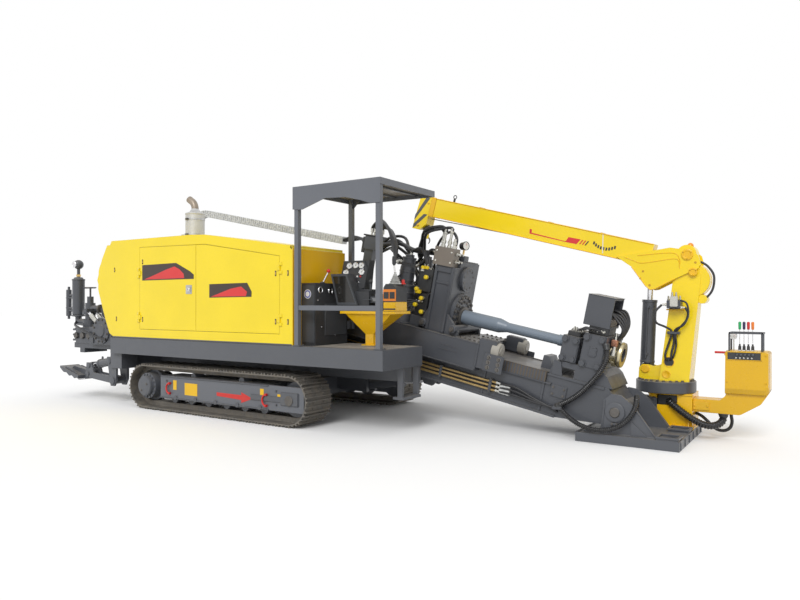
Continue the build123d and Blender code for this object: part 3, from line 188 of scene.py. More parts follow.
def paint(name, colour, rough=0.35, dust=0.25, edge=0.004, dust_colour=(0.42, 0.37, 0.3), peel=0.0006,
          painted_shade_zones=()):
    """Machine paint: slight mottling, dust where it faces up, the skin of sprayed paint, and painted shade past
    a given place on one axis.
    """
    made, tree, shader, place = new_material(name)
    broad = noise(tree, place, 1.7, 3.0)
    fine = noise(tree, place, 38.0, 3.0)
    tone = mix(tree, ramp(tree, broad, 0.35, 0.65), shade(colour, 0.97), shade(colour, 1.02))
    # Past a start on one axis the colour turns to another, as painted shade; it makes the hood's front face a
    # deeper orange.
    for axis, start, other in painted_shade_zones:
        along = node(tree, "ShaderNodeSeparateXYZ", inputs={"Vector": place}).outputs[axis]
        tone = mix(tree, ramp(tree, along, start, start + 0.002), tone, other)
    tone = mix(tree, ramp(tree, fine, 0.42, 0.7, 0.0, 0.06), tone, shade(colour, 0.7))
    settled = sums(tree, "MULTIPLY", ramp(tree, facing_up(tree), 0.35, 0.95),
                   ramp(tree, noise(tree, place, 5.0, 5.0, 0.7), 0.3, 0.75, 0.15, 1.0))
    tone = mix(tree, sums(tree, "MULTIPLY", settled, dust), tone, dust_colour)
    tree.links.new(tone, shader.inputs["Base Color"])
    worn = ramp(tree, noise(tree, place, 9.0, 4.0), 0.3, 0.7, rough * 0.85, rough * 1.2)
    tree.links.new(sums(tree, "ADD", worn, sums(tree, "MULTIPLY", settled, 0.25)), shader.inputs["Roughness"])
    shader.inputs["Coat Weight"].default_value = 0.25
    shader.inputs["Coat Roughness"].default_value = 0.18
    bumped(tree, shader, noise(tree, place, 260.0, 2.0), peel, edge)
    return made


def metal(name, colour, rough=0.3, grime=0.3, metallic=1.0, edge=0.002, streak=(1, 1, 1)):
    """Bare metal with fine scratches and patches of grime."""
    made, tree, shader, place = new_material(name)
    patches = ramp(tree, noise(tree, place, 6.0, 5.0, 0.65), 0.45, 0.75, 0.0, grime)
    scratch = noise(tree, place, 120.0, 2.0, 0.6, streak)
    tone = mix(tree, ramp(tree, scratch, 0.3, 0.7), shade(colour, 0.85), shade(colour, 1.08))
    tree.links.new(mix(tree, patches, tone, shade(colour, 0.35)), shader.inputs["Base Color"])
    tree.links.new(ramp(tree, scratch, 0.3, 0.7, rough * 0.8, rough * 1.3), shader.inputs["Roughness"])
    shader.inputs["Metallic"].default_value = metallic
    bumped(tree, shader, scratch, 0.0004, edge)
    return made


def soiled_steel(name, colour, soil, edge=0.003):
    """Rolled track steel with patches of rust, caked with dry soil in patches."""
    made, tree, shader, place = new_material(name)
    caked = ramp(tree, noise(tree, place, 11.0, 6.0, 0.7), 0.36, 0.66)
    rust = ramp(tree, noise(tree, place, 34.0, 4.0), 0.45, 0.7)
    tone = mix(tree, rust, colour, shade(colour, 0.55))
    tone = mix(tree, caked, tone, soil)
    tree.links.new(tone, shader.inputs["Base Color"])
    tree.links.new(ramp(tree, caked, 0.0, 1.0, 0.45, 0.9), shader.inputs["Roughness"])
    shader.inputs["Metallic"].default_value = 0.45
    bumped(tree, shader, noise(tree, place, 70.0, 5.0, 0.7), 0.003, edge)
    return made


def rubber(name, colour=(0.018, 0.018, 0.02), rough=0.45):
    """Hose rubber with a woven skin."""
    made, tree, shader, place = new_material(name)
    grey = ramp(tree, noise(tree, place, 18.0, 3.0), 0.35, 0.7)
    tree.links.new(mix(tree, grey, colour, shade(colour, 1.9)), shader.inputs["Base Color"])
    tree.links.new(ramp(tree, grey, 0.0, 1.0, rough * 0.8, rough * 1.2), shader.inputs["Roughness"])
    bumped(tree, shader, noise(tree, place, 320.0, 2.0), 0.0006)
    return made


def galvanised(name, colour=(0.66, 0.67, 0.66)):
    """Zinc coating with its crystal patches, and grit between them."""
    made, tree, shader, place = new_material(name)
    cells = node(tree, "ShaderNodeTexVoronoi", inputs={"Vector": place, "Scale": 55.0}).outputs["Color"]
    level = node(tree, "ShaderNodeSeparateColor", inputs={"Color": cells}).outputs["Red"]
    tone = mix(tree, level, shade(colour, 0.72), shade(colour, 1.12))
    grit = ramp(tree, noise(tree, place, 45.0, 4.0, 0.7), 0.5, 0.68, 0.0, 0.65)
    tree.links.new(mix(tree, grit, tone, (0.3, 0.28, 0.24)), shader.inputs["Base Color"])
    tree.links.new(ramp(tree, level, 0.0, 1.0, 0.35, 0.6), shader.inputs["Roughness"])
    shader.inputs["Metallic"].default_value = 0.35
    bumped(tree, shader, level, 0.0008, 0.003)
    return made


# Shapes

def section(centre, radius, first, second, sides=8, start=0.0):
    """Points round a circle, from one direction towards another."""
    turns = [start + tau * k / sides for k in range(sides)]
    return [centre + radius * (cos(a) * first + sin(a) * second) for a in turns]


def ring_points(centre, axis, radius, sides, start=0.0):
    """Points round a circle about an axis."""
    axis = axis.normalized()
    across = axis.orthogonal().normalized() if abs(axis.y) > 0.9 else axis.cross(FAR).normalized()
    return section(centre, radius, across, axis.cross(across), sides, start)


def smooth_path(points, steps=6):
    """A Catmull-Rom line through points."""
    points = [Vector(p) for p in points]
    if len(points) < 3:
        return points
    ends = [2 * points[0] - points[1], *points, 2 * points[-1] - points[-2]]
    path = []
    for k in range(1, len(ends) - 2):
        a, b, c, d = ends[k - 1:k + 3]
        for step in range(steps):
            t = step / steps
            path.append(0.5 * (2 * b + (c - a) * t + (2 * a - 5 * b + 4 * c - d) * t * t
                               + (3 * b - a - 3 * c + d) * t ** 3))
    return path + [points[-1]]


def disc(radius, side, rim, top, start=0):
    """The profile of a disc with its upper edge taken off."""
    return [(start, radius), (side, radius), (top, rim), (top, 0)]


def stud(radius, side, neck, low, high, start=0):
    """The profile of a collar with a narrower neck."""
    return [(start, radius), (side, radius), (low, neck), (high, neck)]


class Form:
    """The mesh of one piece, gathered shape by shape in its usual finish or in others."""

    def __init__(self, finish=None, place=None):
        self.mesh = bmesh.new()
        self.finish = finish
        self.finishes = []
        self.place = place or (lambda *p: Vector(p))

    def rings(self, loops, finish=None, joined=False):
        """A skin over loops of points, closed at its two ends or joined end to end."""
        finish = finish or self.finish
        if finish not in self.finishes:
            self.finishes.append(finish)
        rows = [[self.mesh.verts.new(p) for p in loop] for loop in loops]
        faces = []
        for low, high in zip(rows, rows[1:] + rows[:1] if joined else rows[1:]):
            for k in range(len(low)):
                n = (k + 1) % len(low)
                faces.append(self.mesh.faces.new((low[k], low[n], high[n], high[k])))
        if not joined:
            faces.append(self.mesh.faces.new(rows[0][::-1]))
            faces.append(self.mesh.faces.new(rows[-1]))
        for face in faces:
            face.material_index = self.finishes.index(finish)
        return faces

    def trim(self, faces, edge):
        """Take off the edges of a solid."""
        if edge:
            lines = list({line for face in faces for line in face.edges})
            bmesh.ops.bevel(self.mesh, geom=lines, offset=edge, segments=2, affect="EDGES",
                            material=faces[0].material_index)

    def box(self, x, y, z, edge=0.0, finish=None):
        """A box between two values on each axis of the form's frame."""
        x, y = sorted(x), sorted(y)
        corners = ((0, 0), (1, 0), (1, 1), (0, 1))
        loops = [[self.place(x[i], y[j], level) for i, j in corners] for level in sorted(z)]
        self.trim(self.rings(loops, finish), edge)

    def plate(self, corners, depth, edge=0.0, finish=None):
        """An outline of points with a thickness."""
        corners = [Vector(c) for c in corners]
        self.trim(self.rings([corners, [c + depth for c in corners]], finish), edge)

    def lathe(self, base, axis, profile, sides=24, finish=None):
        """A turned shape, its profile as pairs of distance along the axis and radius."""
        axis = axis.normalized()
        self.rings([ring_points(Vector(base) + axis * far, axis, max(radius, 0.0004), sides)
                    for far, radius in profile], finish)

    def rod(self, start, end, radius, sides=16, finish=None):
        """A round bar between two points."""
        way = Vector(end) - Vector(start)
        self.lathe(start, way, [(0, radius), (way.length, radius)], sides, finish)

    def ball(self, centre, radius, finish=None):
        """A ball."""
        turns = [pi * k / 10 for k in range(11)]
        self.lathe(Vector(centre) - UP * radius, UP,
                   [(radius - radius * cos(t), radius * sin(t)) for t in turns], 20, finish)

    def hoop(self, centre, axis, radius, thick, sides=32, finish=None):
        """A closed ring of round section."""
        centre, axis = Vector(centre), axis.normalized()
        self.rings([section(point, thick, (point - centre).normalized(), axis)
                    for point in ring_points(centre, axis, radius, sides)], finish, joined=True)

    def make(self, name, body, stands_for=()):
        """The finished piece, riding on its body."""
        bmesh.ops.recalc_face_normals(self.mesh, faces=self.mesh.faces[:])
        data = bpy.data.meshes.new(name)
        self.mesh.to_mesh(data)
        self.mesh.free()
        for finish in self.finishes:
            data.materials.append(FINISH[finish])
        return settle(name, data, body, stands_for)


def settle(name, data, body, stands_for=()):
    """A mesh as a piece that rides on a body, smooth up to its corners."""
    data.shade_smooth()
    data.set_sharp_from_angle(angle=SMOOTH_UP_TO)
    piece = bpy.data.objects.new(name, data)
    bpy.context.scene.collection.objects.link(piece)
    piece.modifiers.new("even_normals", "WEIGHTED_NORMAL").keep_sharp = True
    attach(piece, body)
    if stands_for:
        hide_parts(*stands_for)
    return piece


def near_face(name, x, z):
    """Where the near side of a CAD node stands at a place."""
    hit, spot, _, _ = NODES[name].ray_cast(Vector((x, -5.0, z)), FAR)
    if not hit:
        raise ValueError(f"{name} has no near side at {x}, {z}")
    return spot


def softened(name, rules):
    """A copy of a CAD node with its loose triangles joined and chosen edges rounded."""
    shape = bmesh.new()
    shape.from_mesh(NODES[name].data)
    bmesh.ops.remove_doubles(shape, verts=shape.verts[:], dist=0.00005)
    bmesh.ops.dissolve_limit(shape, angle_limit=radians(0.5), verts=shape.verts[:], edges=shape.edges[:])
    for chosen, radius, steps in rules:
        lines = [line for line in shape.edges if len(line.link_faces) == 2 and chosen(line)]
        bmesh.ops.bevel(shape, geom=lines, offset=radius, segments=steps, affect="EDGES", clamp_overlap=True)
    return shape


# Geometry node trees

def new_tree(name, sockets):
    """A node tree with a mesh or curve in, its named sizes, and a mesh out."""
    tree = bpy.data.node_groups.new(name, "GeometryNodeTree")
    tree.interface.new_socket("Geometry", in_out="INPUT", socket_type="NodeSocketGeometry")
    for label, kind, value in sockets:
        made = tree.interface.new_socket(label, in_out="INPUT", socket_type=kind)
        if value is not None:
            made.default_value = value
    tree.interface.new_socket("Material", in_out="INPUT", socket_type="NodeSocketMaterial")
    tree.interface.new_socket("Geometry", in_out="OUTPUT", socket_type="NodeSocketGeometry")
    return tree, tree.nodes.new("NodeGroupInput"), tree.nodes.new("NodeGroupOutput")


def end_tree(tree, entry, out, geometry):
    """Close a tree with real instances and its material."""
    real = node(tree, "GeometryNodeRealizeInstances", inputs={"Geometry": geometry})
    final = node(tree, "GeometryNodeSetMaterial",
                 inputs={"Geometry": real.outputs["Geometry"], "Material": entry.outputs["Material"]})
    tree.links.new(final.outputs["Geometry"], out.inputs["Geometry"])


def bolt_tree(fittings):
    """A hexagon head with its washer on every point, facing and sized by the point's own values."""
    tree, entry, out = new_tree("Bolt heads", [("Across flats", "NodeSocketFloat", fittings.bolt),
                                               ("Head height", "NodeSocketFloat", fittings.bolt * 0.55),
                                               ("Washer", "NodeSocketFloat", fittings.bolt * 0.8)])
    radius = sums(tree, "MULTIPLY", entry.outputs["Across flats"], 0.577)
    head = node(tree, "GeometryNodeMeshCylinder",
                inputs={"Vertices": 6, "Radius": radius, "Depth": entry.outputs["Head height"]})
    lift = node(tree, "ShaderNodeCombineXYZ",
                inputs={"Z": sums(tree, "MULTIPLY", entry.outputs["Head height"], 0.6)})
    head = node(tree, "GeometryNodeTransform",
                inputs={"Geometry": head.outputs["Mesh"], "Translation": lift.outputs["Vector"]})
    washer = node(tree, "GeometryNodeMeshCylinder",
                  inputs={"Vertices": 12, "Radius": entry.outputs["Washer"],
                          "Depth": sums(tree, "MULTIPLY", entry.outputs["Head height"], 0.3)})
    both = tree.nodes.new("GeometryNodeJoinGeometry")
    tree.links.new(washer.outputs["Mesh"], both.inputs["Geometry"])
    tree.links.new(head.outputs["Geometry"], both.inputs["Geometry"])
    facing = node(tree, "GeometryNodeInputNamedAttribute", data_type="FLOAT_VECTOR",
        inputs={"Name": "facing"})
    size = node(tree, "GeometryNodeInputNamedAttribute", data_type="FLOAT", inputs={"Name": "size"})
    turn = node(tree, "FunctionNodeAlignRotationToVector", axis="Z",
                inputs={"Vector": facing.outputs["Attribute"]})
    points = node(tree, "GeometryNodeInstanceOnPoints",
                  inputs={"Points": entry.outputs["Geometry"], "Instance": both.outputs["Geometry"],
                          "Rotation": turn.outputs["Rotation"], "Scale": size.outputs["Attribute"]})
    end_tree(tree, entry, out, points.outputs["Instances"])
    return tree


def hose_tree():
    """A hose along every curve, as thick as the curve's radius, with ribs if asked."""
    tree, entry, out = new_tree("Hoses", [("Rib pitch", "NodeSocketFloat", 0.02),
        ("Rib height", "NodeSocketFloat", 0.0), ("Step", "NodeSocketFloat", 0.02),
        ("Sides", "NodeSocketInt", 12)])
    radius = tree.nodes.new("GeometryNodeInputRadius").outputs["Radius"]
    line = node(tree, "GeometryNodeResampleCurve", mode="LENGTH",
                inputs={"Curve": entry.outputs["Geometry"], "Length": entry.outputs["Step"]})
    length = tree.nodes.new("GeometryNodeSplineParameter").outputs["Length"]
    turns = sums(tree, "DIVIDE", length, entry.outputs["Rib pitch"])
    wave = sums(tree, "SINE", sums(tree, "MULTIPLY", turns, tau))
    swell = sums(tree, "ADD", 1.0, sums(tree, "MULTIPLY", wave, entry.outputs["Rib height"]))
    thick = sums(tree, "MULTIPLY", radius, swell)
    sized = node(tree, "GeometryNodeSetCurveRadius", inputs={"Curve": line.outputs["Curve"], "Radius": thick})
    circle = node(tree, "GeometryNodeCurvePrimitiveCircle",
                  inputs={"Resolution": entry.outputs["Sides"], "Radius": 1.0})
    skin = node(tree, "GeometryNodeCurveToMesh",
                inputs={"Curve": sized.outputs["Curve"], "Profile Curve": circle.outputs["Curve"],
                        "Fill Caps": True})
    if "Scale" in skin.inputs:
        again = tree.nodes.new("GeometryNodeInputRadius").outputs["Radius"]
        tree.links.new(again, skin.inputs["Scale"])
    end_tree(tree, entry, out, skin.outputs["Mesh"])
    return tree


def link_tree():
    """The side plates and cross bars of a cable carrier, one link at a time along a curve."""
    tree, entry, out = new_tree("Carrier links", [("Pitch", "NodeSocketFloat", 0.09),
        ("Width", "NodeSocketFloat", 0.13), ("Height", "NodeSocketFloat", 0.124),
        ("Plate", "NodeSocketFloat", 0.006)])
    line = node(tree, "GeometryNodeResampleCurve", mode="LENGTH",
                inputs={"Curve": entry.outputs["Geometry"], "Length": entry.outputs["Pitch"]})
    both = tree.nodes.new("GeometryNodeJoinGeometry")
    long = sums(tree, "MULTIPLY", entry.outputs["Pitch"], 0.86)
    for side in (-0.5, 0.5):
        size = node(tree, "ShaderNodeCombineXYZ",
            inputs={"X": entry.outputs["Plate"], "Y": entry.outputs["Height"], "Z": long})
        shift = node(tree, "ShaderNodeCombineXYZ",
                     inputs={"X": sums(tree, "MULTIPLY", entry.outputs["Width"], side)})
        plate = node(tree, "GeometryNodeMeshCube", inputs={"Size": size.outputs["Vector"]})
        plate = node(tree, "GeometryNodeTransform",
                     inputs={"Geometry": plate.outputs["Mesh"], "Translation": shift.outputs["Vector"]})
        tree.links.new(plate.outputs["Geometry"], both.inputs["Geometry"])
    for side in (-0.5, 0.5):
        size = node(tree, "ShaderNodeCombineXYZ",
                    inputs={"X": entry.outputs["Width"], "Y": entry.outputs["Plate"],
                            "Z": sums(tree, "MULTIPLY", entry.outputs["Pitch"], 0.3)})
        shift = node(tree, "ShaderNodeCombineXYZ",
                     inputs={"Y": sums(tree, "MULTIPLY", entry.outputs["Height"], side)})
        bar = node(tree, "GeometryNodeMeshCube", inputs={"Size": size.outputs["Vector"]})
        bar = node(tree, "GeometryNodeTransform",
                   inputs={"Geometry": bar.outputs["Mesh"], "Translation": shift.outputs["Vector"]})
        tree.links.new(bar.outputs["Geometry"], both.inputs["Geometry"])
    tangent = tree.nodes.new("GeometryNodeInputTangent").outputs["Tangent"]
    turn = node(tree, "FunctionNodeAlignRotationToVector", axis="Z", inputs={"Vector": tangent})
    turn = node(tree, "FunctionNodeAlignRotationToVector", axis="X", pivot_axis="Z",
                inputs={"Rotation": turn.outputs["Rotation"], "Vector": (0.0, 1.0, 0.0)})
    points = node(tree, "GeometryNodeInstanceOnPoints",
                  inputs={"Points": line.outputs["Curve"], "Instance": both.outputs["Geometry"],
                          "Rotation": turn.outputs["Rotation"]})
    end_tree(tree, entry, out, points.outputs["Instances"])
    return tree


TREES = {}


def grown(source, tree, finish, values):
    """The plain mesh that a tree makes of an object, which is then removed."""
    bpy.context.scene.collection.objects.link(source)
    modifier = source.modifiers.new("grow", "NODES")
    modifier.node_group = tree
    sockets = {item.name: item.identifier for item in tree.interface.items_tree
               if item.item_type == "SOCKET" and item.in_out == "INPUT"}
    for label, value in {**values, "Material": FINISH[finish]}.items():
        modifier[sockets[label]] = value
    graph = bpy.context.evaluated_depsgraph_get()
    data = bpy.data.meshes.new_from_object(source.evaluated_get(graph))
    source.modifiers.remove(modifier)
    bpy.data.objects.remove(source)
    return data


BOLTS = {}


def bolt(body, point, facing, size=1.0, finish="dark_steel"):
    """Note a bolt head to be made on a body."""
    BOLTS.setdefault((body, finish), []).append((Vector(point), facing.normalized(), size))


def bolt_circle(body, centre, axis, radius, count, size=1.0, finish="dark_steel", start=0.0):
    """Note a ring of bolt heads."""
    for point in ring_points(Vector(centre), axis, radius, count, start):
        bolt(body, point, axis, size, finish)


def make_bolts(name, body, finish):
    """Every noted bolt head of a body in one finish, as one piece."""
    noted = BOLTS[(body, finish)]
    data = bpy.data.meshes.new(name)
    data.from_pydata([point for point, _, _ in noted], [], [])
    data.attributes.new("facing", "FLOAT_VECTOR", "POINT")
    data.attributes.new("size", "FLOAT", "POINT")
    for k, (_, direction, factor) in enumerate(noted):
        data.attributes["facing"].data[k].vector = direction
        data.attributes["size"].data[k].value = factor
    made = grown(bpy.data.objects.new(name, data), TREES["bolts"], finish, {})
    return settle(name, made, body)


def make_hoses(name, body, runs, finish="rubber", ribs=0.0, pitch=0.02, step=0.02, sides=12, smoothed=True):
    """Hoses along smooth lines through points, each with its own radius, as one piece."""
    curve = bpy.data.curves.new(name, "CURVE")
    curve.dimensions = "3D"
    for points, radius in runs:
        path = smooth_path(points) if smoothed else points
        spline = curve.splines.new("POLY")
        spline.points.add(len(path) - 1)
        for item, point in zip(spline.points, path):
            item.co = (*point, 1.0)
            item.radius = radius
    made = grown(bpy.data.objects.new(name, curve), TREES["hoses"], finish,
                 {"Rib pitch": pitch, "Rib height": ribs, "Step": step, "Sides": sides})
    return settle(name, made, body)


def free_hose(name, body, points, diameter, ribs=0.0, pitch=0.02):
    """A free hose on one smooth line, with its given thickness."""
    line = bpy.data.curves.new(name, "CURVE")
    line.dimensions = "3D"
    spline = line.splines.new("NURBS")
    spline.points.add(len(points) - 1)
    for item, point in zip(spline.points, points):
        item.co = (*point, 1.0)
    spline.order_u = 3
    spline.use_endpoint_u = True
    spline.resolution_u = 10
    source = bpy.data.objects.new(name, line)
    bpy.context.scene.collection.objects.link(source)
    drawn = bpy.data.meshes.new_from_object(source.evaluated_get(bpy.context.evaluated_depsgraph_get()))
    path = [vertex.co.copy() for vertex in drawn.vertices]
    bpy.data.objects.remove(source)
    piece = make_hoses(name, body, [(path, diameter / 2)], "hose_cover", ribs, pitch, pitch / 8, 20,
        smoothed=False)
    return piece


def colour_prop(label, text, value):
    return bpy.props.FloatVectorProperty(name=label, description=text, subtype="COLOR", size=3,
                                         default=value, min=0.0, max=1.0)


def length_prop(label, text, value):
    return bpy.props.FloatProperty(name=label, description=text, default=value, min=0.0, unit="LENGTH",
                                   subtype="DISTANCE")


class DrillPaints(bpy.types.PropertyGroup):
    """Colours of the drill's paints and metals."""

    hood: colour_prop("Hood yellow", "Paint of the hood and its doors", (0.93, 0.71, 0.008))
    crane: colour_prop("Crane yellow", "Paint of the crane", (0.9, 0.52, 0.004))
    boom: colour_prop("Boom yellow", "Paint of the crane's boom", (0.96, 0.7, 0.008))
    frame: colour_prop("Frame grey", "Paint of the deck, the canopy and the chassis", (0.088, 0.094, 0.108))
    mast: colour_prop("Mast grey", "Paint of the mast, the carriage and the vise", (0.066, 0.071, 0.083))
    console: colour_prop("Console grey", "Textured paint of the operator's console", (0.03, 0.032, 0.036))
    steel: colour_prop("Track steel", "Worn steel of the track shoes", (0.17, 0.162, 0.15))
    soil: colour_prop("Dry soil", "Soil caked on the tracks", (0.23, 0.205, 0.17))
    block: colour_prop("Block beige", "Paint of the valve blocks", (0.2, 0.17, 0.14))
    rod: colour_prop("Rod blue grey", "Paint of the drill rod", (0.17, 0.21, 0.26))


class DrillFittings(bpy.types.PropertyGroup):
    """Sizes of the fasteners and hoses that the dressing adds."""

    bolt: length_prop("Bolt", "Across flats of a usual bolt head", 0.03)
    hose: length_prop("Hose", "Diameter of a usual hydraulic hose", 0.026)


class StudioSettings(bpy.types.PropertyGroup):
    """Floor, lamps and camera."""

    floor: colour_prop("Floor", "Colour of the pale floor in bounced light", (0.62, 0.62, 0.61))
    key: bpy.props.FloatProperty(name="Key light", description="Strength of the soft sun", default=1.5,
        min=0.0)
    sky: bpy.props.FloatProperty(name="Sky light", description="Strength of the even light", default=0.75,
        min=0.0)
    lens: bpy.props.FloatProperty(name="Lens", description="Focal length in millimetres", default=30.6,
        min=1.0)


FINISH = {}


def make_finishes(paints):
    """Every finish of the drill by its plain name."""
    # The hood paint turns deeper orange past x 0.316, as painted shade on the hood's front face.
    FINISH.update({"hood": paint("hood_paint", paints.hood, 0.2, 0.05, 0.012, (0.6, 0.5, 0.3),
        painted_shade_zones=[("X", 0.316, (1.0, 0.56, 0.006))]),
        "crane": paint("crane_paint", paints.crane, 0.25, 0.05, 0.006, (0.5, 0.4, 0.22)),
        "boom": paint("boom_paint", paints.boom, 0.22, 0.04, 0.006, (0.5, 0.4, 0.22)),
        "box_yellow": paint("console_yellow", shade(paints.crane, 0.86), 0.28, 0.05, 0.006, (0.5, 0.4, 0.22)),
        "frame": paint("frame_paint", paints.frame, 0.42, 0.45, 0.005),
        # A lighter copy of the frame paint for the track side frames: painted light, making up for the shade
        # they stand in.
        "side_frame": paint("side_frame_painted_light", shade(paints.frame, 1.4), 0.42, 0.45, 0.005),
        "mast": paint("mast_paint", paints.mast, 0.45, 0.5, 0.004),
        "console": paint("console_paint", paints.console, 0.55, 0.2, 0.006, peel=0.002),
        "block": paint("block_paint", paints.block, 0.5, 0.3, 0.003),
        "rod": paint("rod_paint", paints.rod, 0.38, 0.1, 0.003),
        "track": soiled_steel("track_steel_soiled", paints.steel, paints.soil),
        "steel": metal("bright_steel", (0.55, 0.55, 0.54), 0.38),
        "silencer_steel": metal("silencer_steel", (0.6, 0.6, 0.59), 0.45, 0.12, 0.55),
        "burnt_steel": metal("burnt_steel", (0.36, 0.3, 0.24), 0.42, 0.5, 0.5),
        "dark_steel": metal("dark_steel", (0.16, 0.15, 0.14), 0.5, 0.5, 0.7),
        "chrome": metal("chrome_rod", (0.82, 0.82, 0.84), 0.1, 0.05), "zinc": galvanised("galvanised_links"),
        "brass": metal("brass_fittings", (0.75, 0.52, 0.2), 0.3, 0.3),
        "engine": paint("engine_paint", (0.02, 0.021, 0.023), 0.5, 0.3, 0.01),
        "rubber": rubber("hose_rubber"), "hose_cover": rubber("hose_cover", (0.013, 0.013, 0.014), 0.24),
        "canopy": paint("canopy_paint", shade(paints.frame, 1.5), 0.42, 0.2, 0.005),
        "red": paint("red_enamel", (0.62, 0.02, 0.015), 0.35, 0.05, 0.002),
        "plate_yellow": paint("yellow_plate", (0.85, 0.5, 0.0), 0.4, 0.1, 0.0),
        "badge_dark": paint("badge_brown", (0.035, 0.018, 0.012), 0.4, 0.05, 0.0),
        "badge_red": paint("badge_red", (0.7, 0.03, 0.03), 0.4, 0.05, 0.0),
        "nickel": metal("nickel_fittings", (0.62, 0.61, 0.56), 0.25, 0.25),
        "lamp_amber": paint("amber_lens", (0.85, 0.3, 0.01), 0.12, 0.0, 0.0),
        "dial": paint("dial_white", (0.8, 0.8, 0.78), 0.3, 0.0, 0.0),
        "blue": paint("sticker_blue", (0.03, 0.07, 0.42), 0.4, 0.0, 0.0),
        "screen": paint("dark_glass", (0.02, 0.019, 0.017), 0.08, 0.0, 0.0, peel=0.0),
        "console_edge": paint("console_edge", (0.055, 0.06, 0.068), 0.5, 0.15, 0.004),
        "panel_light": paint("armrest_grey", (0.2, 0.21, 0.22), 0.6, 0.1, 0.008, peel=0.002),
        "panel_orange": paint("panel_orange", (0.85, 0.25, 0.02), 0.4, 0.0, 0.0),
        "boot_grey": rubber("joystick_boot", (0.3, 0.3, 0.29), 0.6),
        "canopy_lining": paint("canopy_lining", (0.3, 0.27, 0.22), 0.6, 0.0, 0.0),
        "deck_plate": paint("dusty_deck", (0.16, 0.15, 0.14), 0.7, 0.85, 0.001),
        "light_ring": paint("light_ring", (0.36, 0.34, 0.3), 0.45, 0.2, 0.003),
        "cap_yellow": paint("cap_yellow", (0.9, 0.65, 0.01), 0.4, 0.05, 0.002),
        "rack": metal("rack_steel", (0.13, 0.11, 0.09), 0.5, 0.5, 0.6),
        "pipe_gold": metal("yellow_zinc_pipe", (0.5, 0.36, 0.16), 0.35, 0.3, 0.8),
        "gold_steel": metal("yellow_zinc", (0.62, 0.55, 0.36), 0.3, 0.35, 0.9),
        "copper": metal("copper_block", (0.6, 0.3, 0.2), 0.35, 0.3),
        "wire": metal("wire_rope", (0.3, 0.29, 0.28), 0.45, 0.3, 0.8),
        # A deeper orange for small discs on the boom's sides: painted shade for recesses.
        "crane_shadow": paint("crane_recess_painted_shade", (0.55, 0.3, 0.01), 0.5, 0.0, 0.0),
        "stripe_grey": paint("stripe_grey", (0.085, 0.09, 0.095), 0.4, 0.05, 0.0),
        "knob_green": paint("knob_green", (0.02, 0.42, 0.13), 0.3, 0.0, 0.0),
        "knob_violet": paint("knob_violet", (0.03, 0.02, 0.09), 0.3, 0.0, 0.0),
        "knob_orange": paint("knob_orange", (0.85, 0.22, 0.02), 0.3, 0.0, 0.0),})


NODE_FINISH = {"track_left": "track", "track_right": "track", "track_frame_left": "side_frame",
    "track_frame_right": "side_frame", "chassis_frame": "frame", "deck": "frame", "hood_shell": "hood",
    "hood_door_rear": "hood", "hood_door_front": "hood", "engine_block": "engine",
    "exhaust_silencer": "steel", "canopy_roof": "canopy", "canopy_frame": "canopy",
    "operator_console": "console", "operator_pedestal": "crane", "mud_pump": "mast", "mast_beam": "mast",
    "front_vise": "mast", "breakout_vise": "mast", "carriage_bed": "mast", "rotary_gearbox": "mast",
    "drive_motors": "mast", "valve_manifold": "block", "drill_rod": "rod", "hose_carrier": "zinc",
    "mast_cylinder_barrel": "mast", "mast_cylinder_rod": "chrome", "anchor_plate": "frame",
    "crane_base": "crane", "crane_console": "crane", "crane_column": "boom", "crane_boom": "boom",
    "crane_boom_tip": "boom", "lift_cylinder_barrel": "mast", "lift_cylinder_rod": "chrome",
    "outrigger_arm_left": "frame", "outrigger_foot_left": "frame", "outrigger_barrel_left": "frame",
    "outrigger_rod_left": "chrome", "outrigger_arm_right": "frame", "outrigger_foot_right": "frame",
    "outrigger_barrel_right": "frame", "outrigger_rod_right": "chrome",}


class DRILL_OT_finishes(bpy.types.Operator):
    """Give every CAD node its finish"""

    bl_idname = "drill.finishes"
    bl_label = "Node finishes"

    def execute(self, context):
        make_finishes(context.scene.drill_paints)
        TREES.update(bolts=bolt_tree(context.scene.drill_fittings), hoses=hose_tree(), links=link_tree())
        for name, finish in NODE_FINISH.items():
            for place in NODES[name].material_slots:
                place.material = FINISH[finish]
        return {"FINISHED"}


# Tracks

TRACKS = (("left", -1), ("right", 1))
SPROCKET_X, IDLER_X, TRACK_R = -2.33, 0.26, 0.305
TRACK_Y = 1.025
SHOES = 44
PLATE_R = 0.283


def loop_spot(distance, height):
    """A point along the shoes' loop and the way it faces."""
    run = IDLER_X - SPROCKET_X
    arc = pi * PLATE_R
    s = distance % (2 * run + 2 * arc)
    r = PLATE_R + height
    if s < run:
        return SPROCKET_X + s, TRACK_R + r, 0, 1
    if s < run + arc:
        turn = (s - run) / PLATE_R
        return IDLER_X + r * sin(turn), TRACK_R + r * cos(turn), sin(turn), cos(turn)
    if s < 2 * run + arc:
        return IDLER_X - (s - run - arc), TRACK_R - r, 0, -1
    turn = (s - 2 * run - arc) / PLATE_R
    return SPROCKET_X - r * sin(turn), TRACK_R - r * cos(turn), -sin(turn), -cos(turn)


